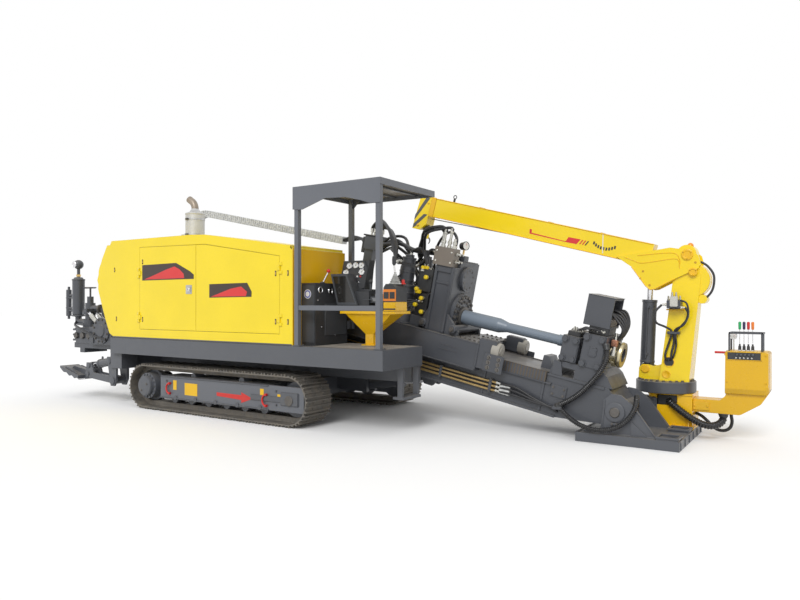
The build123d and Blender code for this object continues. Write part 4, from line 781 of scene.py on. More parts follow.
def dress_tracks():
    """Dress both tracks."""
    loop = 2 * (IDLER_X - SPROCKET_X) + 2 * pi * PLATE_R
    for name, side in TRACKS:
        middle = side * TRACK_Y
        for shoe in range(SHOES):
            for share in (0.32, 0.68):
                x, z, dx, dz = loop_spot((shoe + share) * loop / SHOES, 0.001)
                for across in (-0.09, 0.09):
                    bolt("chassis", (x, middle + across, z), Vector((dx, 0, dz)), 0.62, "track")
        face = side * 1.225
        out = FAR * side
        bolt_circle("chassis", (SPROCKET_X, side * 1.18, TRACK_R), out, 0.153, 16, 0.7, "frame")
        cover = Form("dark_steel")
        cover.lathe((SPROCKET_X, face, TRACK_R), out, [(-0.004, 0.128), (0.006, 0.128), (0.012, 0.12),
            (0.014, 0.06), (0.013, 0)], 40, "frame")
        cover.lathe((SPROCKET_X + 0.06, face, TRACK_R + 0.03), out, disc(0.016, 0.02, 0.01, 0.024), 6)
        cover.lathe((SPROCKET_X - 0.05, face, TRACK_R - 0.06), out, disc(0.016, 0.02, 0.01, 0.024), 6)
        cover.make(f"drive_cover_{name}", "chassis")
        trim = Form("frame")
        for low, high in ((0.168, 0.186), (0.446, 0.464)):
            trim.box((-2.02, -0.07), (side * 1.199, side * 1.212), (low, high), 0.004)
        trim.box((-0.36, 0.3), (side * 1.199, side * 1.214), (0.27, 0.34), 0.006)
        for x in (-1.72, -1.34, -0.97, -0.59, -0.21):
            trim.rod((x, side * 1.18, 0.19), (x, side * 1.213, 0.19), 0.03, 20)
        trim.box((0.12, 0.4), (side * 1.19, side * 1.216), (0.24, 0.4), 0.01)
        trim.lathe((IDLER_X, side * 1.212, TRACK_R), out, disc(0.06, 0.012, 0.05, 0.016), 24, "dark_steel")
        trim.make(f"side_frame_trim_{name}", "chassis")
        for x, z in ((-1.9, 0.4), (-1.9, 0.24), (0.05, 0.4), (0.05, 0.24)):
            bolt("chassis", (x, side * 1.2, z), out, 0.7, "frame")
        marks = Form("red")
        for x, z in ((-1.83, 0.305), (-0.1, 0.285)):
            loops = []
            for k in range(13):
                t = pi * k / 12
                centre = Vector((x - 0.055 * sin(t), side * 1.222, z + 0.065 * cos(t)))
                away = Vector((-sin(t), 0, cos(t)))
                loops.append(section(centre, 0.011, away, FAR))
            marks.rings(loops)
            for end in (0.065, -0.065):
                marks.box((x - 0.016, x + 0.016), (side * 1.198, side * 1.234),
                    (z + end - 0.014, z + end + 0.014), 0.004)
        for x, z, half_x, half_z in ((-1.738, 0.353, 0.034, 0.062), (-1.426, 0.315, 0.12, 0.078),
                (-0.177, 0.363, 0.03, 0.05), (0.1, 0.325, 0.03, 0.042)):
            marks.box((x - half_x, x + half_x), (side * 1.2003, side * 1.203), (z - half_z, z + half_z),
                0.001, "plate_yellow")
        y = side * 1.2004
        marks.plate([(-0.95, y, 0.272), (-0.52, y, 0.254), (-0.52, y, 0.218), (-0.33, y, 0.283),
            (-0.52, y, 0.348), (-0.52, y, 0.312), (-0.95, y, 0.316)], out * 0.0015)
        marks.make(f"side_frame_marks_{name}", "chassis")


class DRILL_OT_tracks(bpy.types.Operator):
    """Shoe bolts, drive covers, tie-down rings and marks of the tracks"""

    bl_idname = "drill.tracks"
    bl_label = "Tracks"

    def execute(self, context):
        dress_tracks()
        return {"FINISHED"}


# Hood: the outline of each door's badge place with its stripe, and where the latches sit

HOOD_NEAR, HOOD_FAR = -1.22, -0.25
BADGES = {
    "rear": (
        [(-2.385, 1.727), (-1.35, 1.732), (-1.348, 1.785), (-1.42, 1.83), (-1.69, 1.945), (-2.385, 1.935)],
        [(-2.34, 1.74), (-1.53, 1.745), (-1.54, 1.8), (-1.62, 1.86), (-1.72, 1.9), (-1.9, 1.86), (-2.15, 1.79)]),
    "front": (
        [(-1.06, 1.492), (-0.33, 1.5), (-0.325, 1.56), (-0.4, 1.668), (-1.06, 1.66)],
        [(-1.03, 1.503), (-0.42, 1.508), (-0.4, 1.56), (-0.5, 1.625), (-0.68, 1.6), (-0.88, 1.545)]),
}
LATCHES = (
    ("latches_shell", "chassis", ((-3, 1.887), (-2.96, 1.2), (0.251, 1.77), (0.251, 1.21))),
    ("latches_rear", "door_rear", ((-2.38, 1.98), (-2.38, 1.2))),
    ("latches_front", "door_front", ((0.06, 1.77), (0.06, 1.21))),
)


def dress_hood():
    """Dress the hood and its doors."""
    near = HOOD_NEAR
    for name, (outline, swoosh) in BADGES.items():
        plate = Form("badge_dark")
        plate.plate([(x, near - 0.0004, z) for x, z in outline], NEAR * 0.0025, 0.0008)
        plate.plate([(x, near - 0.0029, z) for x, z in swoosh], NEAR * 0.0008, finish="badge_red")
        plate.make(f"badge_place_{name}", f"door_{name}")
    lock = Form("steel")
    lock.box((-1.498, -1.384), (near - 0.006, near + 0.002), (1.54, 1.654), 0.003)
    lock.box((-1.478, -1.404), (near - 0.011, near - 0.005), (1.56, 1.634), 0.002)
    lock.lathe((-1.441, near - 0.01, 1.597), NEAR, disc(0.022, 0.008, 0.018, 0.011), 28, "chrome")
    lock.box((-1.445, -1.437), (near - 0.023, near - 0.02), (1.585, 1.609), finish="console")
    lock.make("door_lock", "door_rear")
    for name, body, spots in LATCHES:
        latch = Form("console")
        for x, z in spots:
            latch.box((x - 0.011, x + 0.011), (near - 0.004, near + 0.002), (z - 0.032, z + 0.032), 0.003)
            latch.box((x - 0.004, x + 0.006), (near - 0.008, near - 0.003), (z - 0.018, z + 0.018), 0.001,
                "brass")
        latch.make(name, body)
    seams = Form("frame")
    seams.box((-3.05, 0.31), (near - 0.006, near + 0.004), (0.9375, 0.957), 0.003)
    seams.make("hood_seams", "chassis")

    def across(line):
        """Whether an edge of the shell runs across the machine on its outside."""
        first, second = (corner.co for corner in line.verts)
        return abs(first.y - second.y) > 0.9 and (first - second).length < 1

    def rear_corner(line):
        return across(line) and line.verts[0].co.x < -3

    def top_corner(line):
        return across(line) and line.verts[0].co.x > 0.2 and line.verts[0].co.z > 2

    def rim(line):
        first, second = (corner.co for corner in line.verts)
        at_side = any(abs(first.y - side) + abs(second.y - side) < 0.0004 for side in (HOOD_NEAR, HOOD_FAR))
        middle = (first + second) / 2
        doorway = -2.65 < middle.x < 0.2 and 1 < middle.z < 2.05
        return at_side and line.calc_face_angle(0) > 1.2 and min(first.z, second.z) > 0.939 and not doorway

    shell = softened("hood_shell", [(rear_corner, 0.07, 6), (top_corner, 0.035, 5), (rim, 0.02, 4)])
    bmesh.ops.recalc_face_normals(shell, faces=shell.faces[:])
    data = bpy.data.meshes.new("hood_panels")
    shell.to_mesh(data)
    shell.free()
    data.materials.append(FINISH["hood"])
    for face in data.polygons:
        face.material_index = 0
    settle("hood_panels", data, "chassis", ["hood_shell"])
    rear = Form("engine")
    for k in range(11):
        z = 1.32 + k * 0.042
        x = -3.249 - (z - 1.251) * 0.168 / 0.429 - 0.004
        rear.box((x - 0.01, x + 0.012), (-1.05, -0.42), (z, z + 0.018), 0.003)
    rear.make("rear_louvres", "chassis")
    for k in range(8):
        bolt("chassis", (-3.02 + k * 0.46, -0.25, 1), FAR, 0.5, "hood")
        bolt("chassis", (-3.02 + k * 0.46, -0.25, 1.9 if k < 6 else 1.7), FAR, 0.5, "hood")
    side = Form("hood")
    for low, high in ((-2.7, -1.75), (-1.6, -0.65), (-0.5, 0.2)):
        top = 2.05 if high < -0.6 else 1.85
        side.box((low, high), (-0.252, -0.246), (1.06, top), 0.003)
        for k in range(10):
            z = 1.2 + k * 0.05
            side.box((low + 0.12, high - 0.12), (-0.247, -0.236), (z, z + 0.022), 0.004, "engine")
    side.make("inner_side_panels", "chassis")


class DRILL_OT_hood(bpy.types.Operator):
    """Latches, badge places, seams and louvres of the hood, and its rounded panels"""

    bl_idname = "drill.hood"
    bl_label = "Hood"

    def execute(self, context):
        dress_hood()
        return {"FINISHED"}


SILENCER_X, SILENCER_Y, HOOD_ROOF = -2.2, -0.48, 2.2973


def dress_silencer():
    """Build the silencer in place of the CAD node."""
    base = Vector((SILENCER_X, SILENCER_Y, HOOD_ROOF + 0.0005))
    can = Form("silencer_steel")
    can.lathe(base, UP, [(0, 0.138), (0.024, 0.138), (0.03, 0.133), (0.382, 0.133), (0.388, 0.138),
        (0.4, 0.138), (0.406, 0.13), (0.43, 0.075), (0.47, 0.05), (0.471, 0)], 48)
    bend, radius = 0.13, 0.05
    loops = []
    for k in range(10):
        turn = radians(58) * k / 9
        centre = base + UP * (0.468 + bend * sin(turn)) - FRONT * bend * (1 - cos(turn))
        way = UP * cos(turn) - FRONT * sin(turn)
        loops.append(ring_points(centre, way, radius, 28))
    loops += [ring_points(centre + way * 0.07, way, radius, 28),
        ring_points(centre + way * 0.07, way, 0.046, 28), ring_points(centre + way * 0.02, way, 0.045, 28)]
    can.rings(loops, "burnt_steel")
    for height in (0.08, 0.3):
        can.lathe(base + UP * height, UP, [(0, 0.133), (0.002, 0.1375), (0.026, 0.1375), (0.028, 0.133)], 40,
            "steel")
        can.box((SILENCER_X - 0.02, SILENCER_X + 0.02), (SILENCER_Y - 0.162, SILENCER_Y - 0.132),
            (HOOD_ROOF + height, HOOD_ROOF + height + 0.028), 0.003, "dark_steel")
    can.rod(base + Vector((-0.1, -0.02, 0.1)), base + Vector((-0.2, -0.02, 0.07)), 0.05, 24)
    can.rod(base + Vector((-0.19, -0.02, 0.11)), base + Vector((-0.19, -0.02, 0)), 0.052, 24)
    can.make("silencer_can", "chassis", ["exhaust_silencer"])


class DRILL_OT_silencer(bpy.types.Operator):
    """The silencer's can, cone, bent pipe, clamps and inlet"""

    bl_idname = "drill.silencer"
    bl_label = "Silencer"

    def execute(self, context):
        dress_silencer()
        return {"FINISHED"}


def dress_operator_place():
    """Dress the operator's place, the canopy and the tread plate."""
    lean = Vector((0, -0.39, 0.115)).normalized()
    tall = Vector((0, 0.115, 0.39)).normalized()
    origin = Vector((0, -0.665, 1.54))

    def head(x, height, proud=0):
        """A point on the gauge head's sloping face."""
        return origin + FRONT * x + tall * height + lean * proud

    panel = Form("console")
    outline = [(0.545, 0.02), (0.545, 0.27), (0.6, 0.4), (0.86, 0.4), (0.92, 0.3), (0.92, 0.06), (0.8, 0.02)]
    panel.plate([head(x, h, 0.0004) for x, h in outline], lean * 0.012, 0.003)
    for x, h in ((0.655, 0.335), (0.745, 0.34), (0.83, 0.335), (0.85, 0.255), (0.62, 0.255)):
        centre = head(x, h, 0.012)
        panel.lathe(centre, lean, [(0, 0.04), (0.012, 0.04), (0.015, 0.037), (0.012, 0.033), (0.006, 0.033)],
            36, "chrome")
        panel.lathe(centre, lean, [(0.003, 0.034), (0.008, 0.0338), (0.0082, 0)], 36, "dial")
        panel.rod(centre + lean * 0.009 - tall * 0.006, centre + lean * 0.0105 + tall * 0.022 + FRONT * 0.008,
            0.0016, 6)
        panel.lathe(centre + lean * 0.008, lean, [(0, 0.005), (0.004, 0.004), (0.0045, 0)], 12)
        for tick in range(9):
            angle = radians(-130 + tick * 32.5)
            spot = centre + lean * 0.0084 + 0.028 * (cos(angle) * tall + sin(angle) * FRONT)
            panel.rod(spot, spot + lean * 0.0008, 0.0015, 6)
    for k in range(5):
        panel.lathe(head(0.66 + k * 0.045, 0.2, 0.012), lean,
            [(0, 0.011), (0.01, 0.011), (0.014, 0.007), (0.015, 0)], 16,
            ("red", "lamp_amber", "chrome", "dial", "red")[k])
    for k in range(4):
        spot = head(0.68 + k * 0.05, 0.13, 0.012)
        panel.lathe(spot, lean, [(0, 0.012), (0.012, 0.01), (0.013, 0)], 16, "chrome")
        panel.rod(spot + lean * 0.01, spot + lean * 0.034 + tall * 0.008, 0.005, 8)
    panel.box((0.56, 0.9), (-0.68, -0.655), (1.545, 1.6), 0.008)
    panel.make("gauge_panel", "chassis")

    near = -0.79
    screen = Form("console_edge")
    outer = [(0.545, 1.764), (0.772, 1.764), (0.93, 1.404), (0.64, 1.404)]
    middle = Vector((0.722, near, 1.584))
    inner = [Vector((x, near, z)).lerp(middle, 0.16) for x, z in outer]
    loops = []
    for corners, depth in ((outer, 0), (outer, 0.02), (inner, 0.02), (inner, 0.008)):
        loops.append([Vector((c[0], near - depth, c[-1])) for c in corners])
    screen.rings(loops)
    screen.plate([Vector((c.x, near - 0.008, c.z)) for c in inner], NEAR * 0.003, finish="screen")
    screen.make("control_screen", "chassis")

    seat = Form("console_edge")
    seat.box((0.95, 1.16), (-0.77, -0.53), (1.43, 1.5), 0.03)
    seat.box((1.09, 1.27), (-0.79, -0.57), (1.4, 1.53), 0.045, "panel_light")
    seat.box((0.86, 1.05), (-0.7, -0.5), (1.55, 1.585), 0.012, "console")
    seat.rod((0.97, -0.6, 1.56), (0.97, -0.6, 1.66), 0.014, 12)
    seat.ball((0.97, -0.6, 1.675), 0.026, finish="console")
    seat.make("armrests", "chassis")

    right = Form("console")
    right.box((1.278, 1.44), (-0.792, -0.55), (1.335, 1.44), 0.004, "crane")
    right.box((1.276, 1.442), (-0.7935, -0.78), (1.448, 1.58), 0.002, "panel_orange")
    for x in (1.285, 1.365):
        right.box((x, x + 0.068), (-0.7965, -0.7925), (1.475, 1.55), 0.002)
    right.box((1.278, 1.44), (-0.794, -0.79), (1.352, 1.368))
    folds = [(0, 0.075)]
    for k in range(6):
        folds += [(0.012 + k * 0.02, 0.07 - k * 0.01), (0.022 + k * 0.02, 0.052 - k * 0.008)]
    folds += [(0.135, 0.014), (0.136, 0)]
    right.lathe((1.358, -0.67, 1.638), UP, folds, 28, "boot_grey")
    right.rod((1.358, -0.67, 1.75), (1.35, -0.68, 1.86), 0.009, 12, "chrome")
    right.lathe((1.35, -0.68, 1.85), UP, [(0, 0.012), (0.02, 0.022), (0.07, 0.024), (0.1, 0.02), (0.11, 0)],
        16)
    right.lathe((1.42, -0.6, 1.638), UP, [(0, 0.03), (0.01, 0.03), (0.015, 0.02), (0.05, 0.018), (0.055, 0)],
        20, "red")
    right.make("joystick_box", "chassis")

    cabinet = Form("console_edge")
    out = -1.0694
    cabinet.box((0.34, 0.515), (out - 0.006, out + 0.004), (0.97, 1.36), 0.004)
    cabinet.box((0.34, 0.515), (out - 0.006, out + 0.004), (1.385, 1.63), 0.004)
    cabinet.lathe((0.421, out - 0.006, 1.53), NEAR, [(0, 0.052), (0.0015, 0.052), (0.0016, 0)], 36, "dial")
    cabinet.lathe((0.421, out - 0.0075, 1.53), NEAR, [(0, 0.044), (0.0006, 0.044), (0.0007, 0)], 36, "blue")
    cabinet.lathe((0.421, out - 0.0081, 1.53), NEAR, [(0, 0.03), (0.0006, 0.03), (0.0007, 0)], 36, "dial")
    for y, z in ((-0.975, 1.577), (-0.792, 1.567)):
        cabinet.hoop((0.529, y, z), FRONT, 0.034, 0.006, finish="chrome")
        cabinet.lathe((0.5284, y, z), FRONT, [(0, 0.031), (0.0012, 0.031), (0.0014, 0)], 28, "screen")
    for y, z in ((-1.02, 1.46), (-0.95, 1.15), (-0.85, 1.3), (-0.7, 1.05), (-0.6, 1.2)):
        bolt("chassis", (0.5285, y, z), FRONT, 0.4, "chrome")
    cabinet.box((0.524, 0.536), (-0.9, -0.5), (1.05, 1.42), 0.004)
    cabinet.rod((0.47, -0.87, 1.655), (0.515, -0.82, 1.79), 0.009, 12, "chrome")
    cabinet.ball((0.518, -0.816, 1.802), 0.024, finish="red")
    cabinet.lathe((0.47, -0.87, 1.657), UP, [(0, 0.028), (0.01, 0.028), (0.02, 0.014), (0.021, 0)], 20,
        "console")
    cabinet.make("cabinet_fittings", "chassis")

    post = Form("frame")
    for x, y, z in ((0.3925, -1.213, 0.9375), (1.516, -1.213, 0.9375)):
        post.box((x - 0.055, x + 0.055), (y - 0.036, y + 0.055), (z, z + 0.012), 0.003)
        for dx in (-0.042, 0.042):
            bolt("chassis", (x + dx, y + 0.042, z + 0.012), UP, 0.55, "dark_steel")
    for x, y in ((0.3925, -1.213), (1.516, -1.213), (0.3925, -0.205)):
        post.plate([(x + 0.0277, y, 2.73), (x + 0.16, y, 2.73),
            (x + 0.0277, y, 2.6)] if x < 1 else [(x - 0.0277, y, 2.73), (x - 0.16, y, 2.73),
            (x - 0.0277, y, 2.6)], FAR * 0.006)
    post.box((0.355, 1.544), (-1.241, -0.13), (2.722, 2.7315), 0.002, "canopy_lining")
    for x in (0.62, 1, 1.3):
        post.box((x - 0.015, x + 0.015), (-1.235, -0.135), (2.7, 2.724), 0.003)
    post.make("canopy_fittings", "chassis")
    mat = Form("deck_plate")
    mat.box((0.56, 1.56), (-1.18, -0.48), (0.9372, 0.941), 0.002)
    mat.make("deck_plate", "chassis")
    studs = []
    for row in range(17):
        for col in range(24):
            studs.append((0.585 + col * 0.0415, -1.16 + row * 0.0415 + (0.02 if col % 2 else 0)))
    tread = Form("deck_plate")
    for x, y in studs:
        tread.rings([[Vector((x + a, y + b, z)) for a, b in shape] for z,
            shape in ((0.9405, ((-0.013, 0), (0, -0.004), (0.013, 0), (0, 0.004))),
            (0.9432, ((-0.009, 0), (0, -0.002), (0.009, 0), (0, 0.002))))])
    tread.make("deck_tread", "chassis")


class DRILL_OT_operator_place(bpy.types.Operator):
    """Gauges, screen, joystick, handles and cabinet fittings of the operator's place"""

    bl_idname = "drill.operator_place"
    bl_label = "Operator's place"

    def execute(self, context):
        dress_operator_place()
        return {"FINISHED"}


def dress_gearbox():
    """Dress everything that rides on the carriage."""
    bolt_circle("carriage", mast(1.745, 0.03), ALONG, 0.205, 18, 1.1)
    bolt_circle("carriage", mast(1.747, 0.03), ALONG, 0.145, 14, 0.8)
    bolt_circle("carriage", mast(1.735, 0.445), ALONG, 0.115, 10, 0.7)
    legs = Form("mast", mast)
    for u in ((1.44, 1.478), (1.662, 1.698)):
        legs.box(u, (-0.21, 0.56), (0.3, 0.322), 0.004)
        legs.box(u, (-0.21, 0.56), (-0.202, -0.18), 0.004)
    legs.box((1.478, 1.662), (0.5, 0.56), (0.3, 0.322), 0.004)
    legs.box((1.478, 1.662), (0.36, 0.39), (0.3, 0.312), 0.003)
    legs.lathe(mast(1.7, 0.03), ALONG, [(0, 0.245), (0.03, 0.245), (0.034, 0.24), (0.034, 0.2)], 48)
    legs.lathe(mast(1.74, 0), ALONG, [(0, 0.12), (0.03, 0.12), (0.036, 0.112), (0.036, 0.09)], 40,
        "dark_steel")
    legs.lathe(mast(1.728, 0.445), ALONG, [(0, 0.152), (0.012, 0.152), (0.016, 0.147), (0.016, 0.13)], 40)
    for k in range(7):
        u = 1.45 + k * 0.036
        legs.box((u, u + 0.016), (0.632, 0.652), (-0.3, 0.17), 0.002)
    for w in (-0.31, 0.27, 0.31):
        for u in (1.401, 1.815):
            legs.lathe(mast(u, -0.136, w), NEAR if w > 0 else FAR, disc(0.05, 0.03, 0.044, 0.036), 28)
    for u in (1.401, 1.815):
        bolt("carriage", mast(u, -0.136, 0.352), NEAR, 1.3)
    legs.make("gearbox_ribs", "carriage")

    fittings = Form("nickel")
    for k, (u, w) in enumerate(((1.43, 0.22), (1.48, 0.28), (1.52, 0.22), (1.56, 0.28), (1.6, 0.22),
            (1.63, 0.29))):
        high = (0.12, 0.16, 0.1, 0.18, 0.14, 0.11)[k]
        base = mast(u, 0.79, w)
        fittings.lathe(base, UPRIGHT, [(0, 0.025), (0.022, 0.025), (0.024, 0.018), (0.045, 0.018),
            (0.047, 0.024), (0.08, 0.024), (0.082, 0.016), (high, 0.016), (high + 0.01, 0)], 12)
    for u, w in ((1.66, 0.2), (1.66, 0.27)):
        for v in (0.64, 0.73):
            fittings.lathe(mast(u, v, w), ALONG, [(0, 0.022), (0.02, 0.022), (0.022, 0.014), (0.06, 0.014),
                (0.062, 0)], 6)
    for v, w in ((0.62, 0.331), (0.74, 0.331)):
        for u in (1.43, 1.63):
            bolt("carriage", mast(u, v, w), NEAR, 0.5, "nickel")
    fittings.make("manifold_fittings", "carriage")
    gauge = Form("mast", mast)
    foot = mast(1.6, 0.64, -0.02)
    gauge.box((1.56, 1.66), (0.64, 0.72), (-0.07, 0.05), 0.006)
    gauge.rod(foot + UPRIGHT * 0.08, foot + UPRIGHT * 0.15, 0.012, 12, "brass")
    face = (FRONT * 0.94 + NEAR * 0.34).normalized()
    centre = foot + UPRIGHT * 0.2 - face * 0.03
    gauge.lathe(centre, face, [(-0.02, 0), (-0.02, 0.046), (0.04, 0.048), (0.042, 0.054), (0.056, 0.054),
        (0.058, 0.05), (0.052, 0.046)], 36, "rubber")
    gauge.lathe(centre, face, [(0.03, 0.0465), (0.053, 0.0465), (0.0531, 0)], 36, "dial")
    gauge.rod(centre + face * 0.0532, centre + face * 0.054 + UPRIGHT * 0.03 + FAR * 0.01, 0.0016, 6, "red")
    gauge.make("pressure_gauge", "carriage")

    drives = Form("mast", mast)
    for side in (1, -1):
        w = side * 0.215
        for low, high, r in ((-0.075, -0.05, 0.2), (-0.213, -0.19, 0.205), (0.02, 0.04, 0.142),
                (0.15, 0.168, 0.142), (0.235, 0.262, 0.15), (0.3, 0.32, 0.1), (0.4, 0.42, 0.1),
                (0.458, 0.478, 0.09)):
            drives.lathe(mast(1, low, w), UPRIGHT, [(0, r - 0.004), (0.003, r), (high - low - 0.003, r),
                (high - low, r - 0.004)], 40)
        drives.lathe(mast(1, -0.062, w), UPRIGHT, [(0, 0.19), (0.012, 0.19), (0.03, 0.16), (0.031, 0.13)],
            40, "light_ring")
        bolt_circle("carriage", mast(1, -0.05, w), UPRIGHT, 0.172, 16, 0.8)
        bolt_circle("carriage", mast(1, 0.262, w), UPRIGHT, 0.128, 8, 0.7)
        bolt_circle("carriage", mast(1, 0.478, w), UPRIGHT, 0.06, 6, 0.5)
        drives.box((0.93, 1.07), (0.46, 0.53), (w - 0.06, w + 0.06), 0.008)
        drives.lathe(mast(1, 0.52, w), UPRIGHT, [(0, 0.08), (0.05, 0.08), (0.053, 0.088), (0.068, 0.088),
            (0.07, 0.055), (0.1, 0.055), (0.104, 0.05), (0.104, 0)], 32)
        for u in (0.9, 1.1):
            drives.rod(mast(u, 0.5, w), mast(u + (0.05 if u > 1 else -0.05), 0.5, w), 0.02, 8, "nickel")
    for v, w in ((0.33, 0.14), (0.33, -0.16), (0.08, -0.16)):
        for u0, u1, r in ((1.21, 1.235, 0.08), (1.3, 1.32, 0.098), (1.41, 1.436, 0.12)):
            drives.lathe(mast(u0, v, w), ALONG, [(0, r - 0.004), (0.003, r), (u1 - u0, r)], 36)
        bolt_circle("carriage", mast(1.41, v, w), -ALONG, 0.106, 6, 0.6)
        drives.box((1.12, 1.22), (v - 0.05, v + 0.05), (w - 0.055, w + 0.055), 0.008, "engine")
    drives.make("motor_flanges", "carriage")

    valves = Form("cap_yellow", mast)
    valves.box((1.24, 1.4), (-0.08, 0.2), (0.21, 0.29), 0.006, "engine")
    valves.box((1.2, 1.4), (-0.215, -0.08), (0.2, 0.3), 0.006, "mast")
    valves.box((1.22, 1.42), (0.22, 0.5), (0.24, 0.3), 0.006, "engine")
    for u, v, w, turn in ((1.27, 0.46, 0.31, UPRIGHT), (1.36, 0.4, 0.31, NEAR), (1.25, 0.24, 0.3, NEAR),
            (1.33, 0.14, 0.29, NEAR), (1.26, 0.05, 0.29, NEAR), (1.36, -0.02, 0.29, NEAR)):
        base = mast(u, v, w)
        valves.lathe(base, turn, stud(0.024, 0.02, 0.018, 0.022, 0.03), 6, "nickel")
        valves.lathe(base + turn * 0.03, turn, [(0, 0.026), (0.028, 0.026), (0.036, 0.018), (0.037, 0)], 16)
    valves.box((1.28, 1.34), (0.485, 0.53), (0.25, 0.3), 0.006)
    valves.box((1.23, 1.3), (0.19, 0.235), (0.3, 0.345), 0.006)
    valves.make("valve_caps", "carriage")

    bed = Form("mast", mast)
    bed.box((1.9, 2.23), (-0.213, -0.198), (-0.42, 0.42), 0.003)
    bed.box((-0.49, 2.23), (-0.215, -0.205), (0.395, 0.432), 0.002)
    bed.box((-0.49, 2.23), (-0.512, -0.5), (0.425, 0.445), 0.003)
    bed.box((2.215, 2.245), (-0.46, -0.2), (0.34, 0.44), 0.004)
    for w in (-0.36, -0.12, 0.12, 0.36):
        for k in range(5):
            bolt("carriage", mast(1.95 + k * 0.062, -0.198, w), UPRIGHT, 0.8)
    for k in range(12):
        bolt("carriage", mast(0.9 + k * 0.1, -0.512, 0.39), -UPRIGHT, 0.8)
    for w in (0.43, -0.43):
        for k in range(2):
            bed.box((1.72, 1.98), (-0.32 - k * 0.05, -0.312 - k * 0.05), (w * 0.999, w * 1.008), 0.001)
    for side in (1, -1):
        bed.lathe(mast(2.45, -0.235, side * 0.365), ALONG,
            [(-0.05, 0.088), (0.03, 0.088), (0.04, 0.08), (0.04, 0.05), (0.048, 0.045), (0.048, 0)], 32,
            "light_ring")
        bed.box((2.24, 2.44), (-0.15, -0.13), (side * 0.31, side * 0.42), 0.006)
        bed.box((2.33, 2.57), (-0.477, -0.275), (side * 0.43, side * 0.448), 0.004)
        for u in (2.39, 2.51):
            for v in (-0.32, -0.376, -0.432):
                bolt("carriage", mast(u, v, side * 0.448), NEAR * side, 0.95)
                bed.lathe(mast(u, v, side * 0.447), NEAR * side, [(0, 0.024), (0.003, 0.024), (0.0031, 0)],
                    20, "light_ring")
    bed.make("bed_fittings", "carriage")

    tower = Form("engine", mast)
    tower.box((-0.11, 0.05), (0, 0.02), (-0.43, -0.32), 0.004)
    tower.box((-0.13, 0.2), (0.74, 0.76), (-0.44, -0.29), 0.004)
    tower.box((-0.16, -0.1), (0.5, 0.72), (-0.44, -0.33), 0.006)
    for k in range(5):
        tower.lathe(mast(-0.04 + k * 0.045, 0.76, -0.36), UPRIGHT, stud(0.017, 0.02, 0.012, 0.022, 0.05), 6,
            "nickel")
    tower.make("hose_tower_fittings", "carriage")
    runs = []
    for k in range(5):
        start = mast(-0.04 + k * 0.045, 0.8, -0.36)
        over = mast(0.12 + 0.05 * k, 0.98 - 0.03 * k, -0.3)
        runs.append(([start, start + UPRIGHT * 0.08, over,
            mast(0.42 + 0.05 * k, 0.86 - 0.04 * k, -0.1 + 0.02 * k),
            mast(0.66 + 0.03 * k, 0.6 - 0.02 * k, 0.06 + 0.03 * k), mast(0.87, 0.5, 0.16 + 0.022 * k)],
            0.016 if k % 2 else 0.02))
    for k, (v, w) in enumerate(((0.33, 0.14), (0.33, -0.16), (0.08, -0.16), (0.36, 0.1))):
        end = mast(1.13, v, w)
        runs.append(([mast(0.15, 0.64 - 0.04 * k, -0.31), mast(0.35, 0.78 - 0.05 * k, -0.28),
            mast(0.62, 0.8 - 0.06 * k, -0.2 + 0.08 * k), mast(0.88, 0.6 - 0.04 * k, -0.02 + w * 0.3), end],
            0.019))
    runs.append(([mast(1.12, 0.5, 0.215), mast(1.22, 0.58, 0.22), mast(1.3, 0.72, 0.25),
        mast(1.4, 0.72, 0.26)], 0.021))
    runs.append(([mast(0.2, 0.66, -0.3), mast(0.6, 0.72, -0.12), mast(1, 0.68, 0.12),
        mast(1.42, 0.7, 0.22)], 0.028))
    for k, (u, w, high) in enumerate(((1.43, 0.22, 0.12), (1.48, 0.28, 0.16), (1.56, 0.28, 0.18))):
        top = mast(u, 0.79 + high, w)
        runs.append(([top, top + UPRIGHT * 0.05, top + UPRIGHT * (0.1 - 0.03 * k) - ALONG * 0.1,
            top + UPRIGHT * (0.02 - 0.04 * k) - ALONG * (0.26 + 0.04 * k), mast(0.98 + 0.04 * k, 0.68, 0),
            mast(0.92, 0.53, -0.2 + 0.04 * k)], 0.018))
    runs.append(([mast(1.64, 0.8, 0.28), mast(1.63, 0.91, 0.26), mast(1.52, 0.98, 0.2), mast(1.36, 0.92, 0.1),
        mast(1.24, 0.74, 0.02), mast(1.16, 0.42, -0.16)], 0.017))
    for k in range(3):
        runs.append(([mast(1, 0.6 - 0.02 * k, 0.215), mast(1.03, 0.68, 0.2),
            mast(1.16 + 0.05 * k, 0.72 - 0.03 * k, 0.24), mast(1.27 + 0.04 * k, 0.6 - 0.05 * k, 0.27),
            mast(1.28 + 0.05 * k, 0.5, 0.27)], 0.016))
    for k in range(4):
        runs.append(([mast(1.25 + 0.03 * k, 0.1, 0.3), mast(1.18, 0 + 0.03 * k, 0.36),
            mast(1.1, -0.05 + 0.05 * k, 0.38), mast(1.02 - 0.03 * k, 0.1 + 0.06 * k, 0.34),
            mast(1.06, 0.38 + 0.03 * k, 0.25)], 0.012))
    make_hoses("carriage_hoses", "carriage", runs)
    ends = Form("nickel")
    for points, radius in runs:
        for first, second in ((points[0], points[1]), (points[-1], points[-2])):
            aim = (Vector(second) - Vector(first)).normalized()
            ends.lathe(Vector(first) - aim * 0.005, aim, [(0, radius * 0.9), (0.004, radius * 1.25),
                (0.022, radius * 1.25), (0.024, radius * 1.12), (0.055, radius * 1.12),
                (0.056, radius * 0.9)], 12)
    ends.make("carriage_hose_ends", "carriage")


